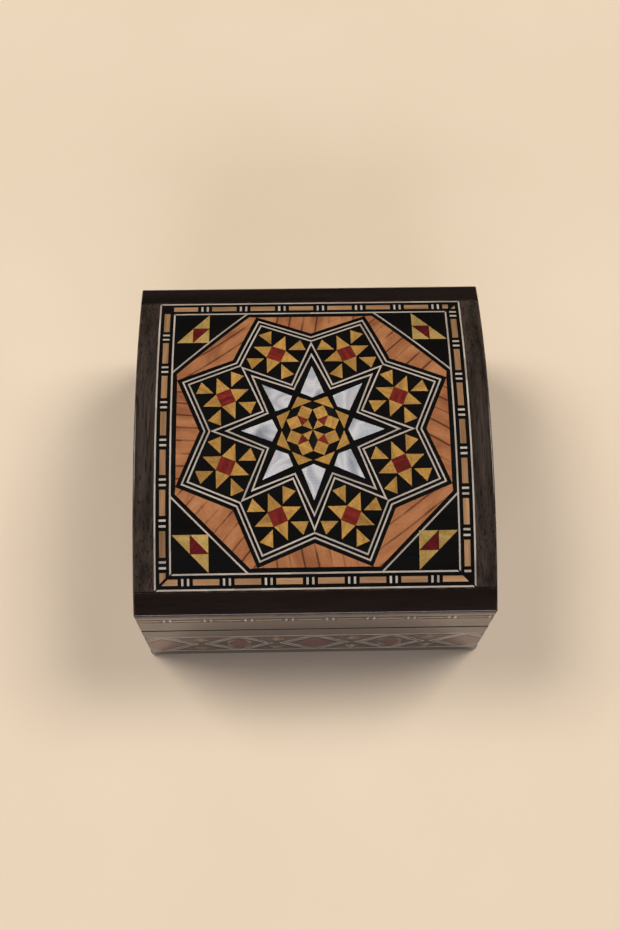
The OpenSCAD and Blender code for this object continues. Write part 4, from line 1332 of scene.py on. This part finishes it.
# %% One screw and the nodes that set it in place
def screw_mesh(head_r, shank_r, head_h, length):
    """A countersunk screw: head at z = 0, shank down, with a slot across the head."""
    slot_w, slot_d = head_r * 0.3, head_h * 0.45
    bm = bmesh.new()
    sides = 24
    profile = [(head_r * 0.96, 0.0), (head_r, -0.04), (shank_r, -head_h)]
    thread = int((length - head_h - 0.6) / 0.5)
    for i in range(thread):
        z = -head_h - 0.5 * i
        profile += [(shank_r * 0.78, z - 0.18), (shank_r, z - 0.36)]
    profile += [(shank_r * 0.6, -length + 0.3), (0.05, -length)]
    rows = [[bm.verts.new((*polar(r, 360 * i / sides), z)) for i in range(sides)] for r, z in profile]
    for upper, lower in zip(rows, rows[1:]):
        for i in range(sides):
            j = (i + 1) % sides
            bm.faces.new((upper[j], upper[i], lower[i], lower[j]))
    bm.faces.new(rows[0])
    bm.faces.new(rows[-1][::-1])
    blank = new_piece("screw_blank", mesh_from(bm, "screw_blank"))
    bm = bmesh.new()
    box_mesh(bm, (-2 * head_r, -slot_w / 2, -slot_d), (2 * head_r, slot_w / 2, head_h))
    cutter = new_piece("slot_cutter", mesh_from(bm, "slot_cutter"))
    modifier = blank.modifiers.new("slot", "BOOLEAN")
    modifier.object, modifier.operation, modifier.solver = cutter, "DIFFERENCE", "EXACT"
    mesh = evaluated(blank)
    bpy.data.objects.remove(blank)
    bpy.data.objects.remove(cutter)
    return mesh


# %% Nodes that set the screws
def screw_tree():
    """Copies of one screw on points, each turned by its own random angle about its axis."""
    inputs = [("Screw", "Object", None), ("Tilt", "Vector", (0, 0, 0)), ("Seed", "Int", 1),
              ("Material", "Material", None)]
    tree, given = new_group("screws in their holes", inputs)
    screw = add(tree, "GeometryNodeObjectInfo", {"Object": given["Screw"]})
    own_turn = add(tree, "FunctionNodeRandomValue", {2: 0.0, 3: 2 * pi, 8: given["Seed"]}, data_type="FLOAT")
    spin = turn_about_z(tree, own_turn.outputs[1])
    tilt = add(tree, "FunctionNodeEulerToRotation", {0: given["Tilt"]}).outputs[0]
    turn = add(tree, "FunctionNodeRotateRotation", {0: tilt, 1: spin}, rotation_space="LOCAL").outputs[0]
    copies = add(tree, "GeometryNodeInstanceOnPoints", {"Points": given["Geometry"], "Rotation": turn,
                 "Instance": screw.outputs["Geometry"], "Scale": (MM, MM, MM)}).outputs[0]
    real = add(tree, "GeometryNodeRealizeInstances", {0: copies}).outputs[0]
    end_in(tree, smooth_sides(tree, real), given["Material"])
    return tree


def holes_of(node, axis, sign):
    """Where each screw's head sits: the middle of the far face of each separate solid."""
    bm = bmesh.new()
    bm.from_mesh(nodes[node].data)
    bmesh.ops.remove_doubles(bm, verts=bm.verts, dist=MERGE)
    left, spots = set(bm.verts), []
    while left:
        group, edge = set(), [left.pop()]
        while edge:
            v = edge.pop()
            group.add(v)
            for e in v.link_edges:
                other = e.other_vert(v)
                if other in left:
                    left.discard(other)
                    edge.append(other)
        points = np.array([v.co[:] for v in group])
        spot = (points.min(0) + points.max(0)) / 2
        spot[axis] = points[:, axis].max() if sign > 0 else points[:, axis].min()
        spots.append(tuple(spot))
    bm.free()
    return sorted(spots)


# %% Screws in their holes
screws = screw_tree()
SCREW = screw_mesh(head_r=1.2, shank_r=0.6, head_h=0.6, length=5.0)
# each set: where the head faces, as an axis and a sign, and the tilt that points it there
SCREW_SETS = [("base_hinge_screws", 2, 1, (0, 0, 0), "case"), ("lid_hinge_screws", 2, -1, (pi, 0, 0), "lid"),
              ("lock_screws", 1, 1, (-pi / 2, 0, 0), "case"), ("staple_screws", 2, -1, (pi, 0, 0), "lid")]
for number, (node, axis, sign, tilt, body) in enumerate(SCREW_SETS):
    pattern = new_piece("screw_pattern", SCREW)
    spots = holes_of(node, axis, sign)
    mesh = bpy.data.meshes.new(node + "_slotted")
    mesh.from_pydata(spots, [], [])
    piece = new_piece(node + "_slotted", mesh)
    run_tree(piece, screws, {"Screw": pattern, "Tilt": tilt, "Seed": 60 + number, "Material": brass})
    bpy.data.objects.remove(pattern)
    declare(piece, body, "brass", node)
    print(f"{node}: {len(spots)} screws")

# %% [markdown]
# ## Brass, steel and plain timber
# The hinges, the escutcheon, the key and the peg are brass, and the lock inside is steel.
# Their shapes are right as they are, so they only take a finish. Plain poplar makes the core
# of the lid, the floors, the runners and the hidden tray.

# %% Finishes for the parts that keep their shape
FINISHES = {brass: ["base_hinge_leaves", "lid_hinge_leaves", "hinge_pins", "escutcheon", "panel_stop_peg",
                    "box_key", "lid_staple"],
            steel: ["lock_case", "lock_back_plate", "lock_cam", "lock_bolt"],
            plain_wood: ["lid_core", "bottom_board", "false_bottom", "drawer_runners"],
            plain_wood_y: ["drawer_tray"],
            band_ground: ["panel_board"]}
for material, names in FINISHES.items():
    for name in names:
        for material_slot in nodes[name].material_slots:
            material_slot.material = material
    print(material.name, "on", ", ".join(names))

# %% [markdown]
# ## Floor and light
# The box stands on pale painted board. Two large soft boxes hang high at the left and the
# right, a little behind, so short soft shadows fall all round. A wide, weaker one stands low
# in front and lights the front faces. None of them is mirrored in the top of the lid.


# %% Floor and lights
def painted_board():
    """The floor's paint: flat, with a faint roller texture."""
    material, tree, shader = new_material("painted_board", Roughness=0.7, IOR=1.4)
    place = own_place(tree)
    body = ramp(tree, mottle(tree, place, 9.0, 3), [(0.3, "#dccab3"), (0.7, "#e0cfb9")])
    tree.links.new(body, shader.inputs["Base Color"])
    relief(tree, shader, mottle(tree, place, 1200.0, 2), 0.03 * MM, 0.4)
    return material


FLOOR_SIZE = 12.0
bm = bmesh.new()
bmesh.ops.create_grid(bm, x_segments=1, y_segments=1, size=FLOOR_SIZE / 2)
floor = new_piece("floor", mesh_from(bm, "floor"))
dress(floor, painted_board())


# %% Lights and room
def soft_light(name, position, size, power, colour, target=(0, 0, 0.03)):
    """A rectangular light that faces a point."""
    data = bpy.data.lights.new(name, "AREA")
    data.shape = "RECTANGLE"
    data.size, data.size_y = size
    data.energy = power
    data.color = linear(colour)[:3]
    lamp = bpy.data.objects.new(name, data)
    direction = Vector(target) - Vector(position)
    lamp.matrix_world = Matrix.Translation(position) @ direction.to_track_quat("-Z", "Y").to_matrix().to_4x4()
    bpy.context.scene.collection.objects.link(lamp)


SIDE_POWER = 54.0
FRONT_POWER = 38.0
WARM = "#fffaf2"
COOL = "#eef0ff"
soft_light("left_box", (-1.5, 0.75, 2.55), (1.3, 1.3), SIDE_POWER, WARM)
soft_light("right_box", (1.5, 0.75, 2.55), (1.3, 1.3), SIDE_POWER, WARM)
soft_light("front_box", (0, -2.7, 1.5), (2.0, 0.8), FRONT_POWER, COOL)

# the room: pale walls low down, and a dark ceiling, so that the lid mirrors no light from above
WALL_TOP = (0.10, 0.22)
WALLS = 0.72
CEILING = 0.06
world = bpy.data.worlds.new("room")
world.use_nodes = True
tree = world.node_tree
direction = add(tree, "ShaderNodeTexCoord").outputs["Generated"]
up_part = add(tree, "ShaderNodeSeparateXYZ", {0: direction}).outputs["Z"]
strength = remap(tree, up_part, *WALL_TOP, WALLS, CEILING)
background = tree.nodes["Background"]
background.inputs["Color"].default_value = linear("#e0d0bb")
tree.links.new(strength, background.inputs["Strength"])
bpy.context.scene.world = world
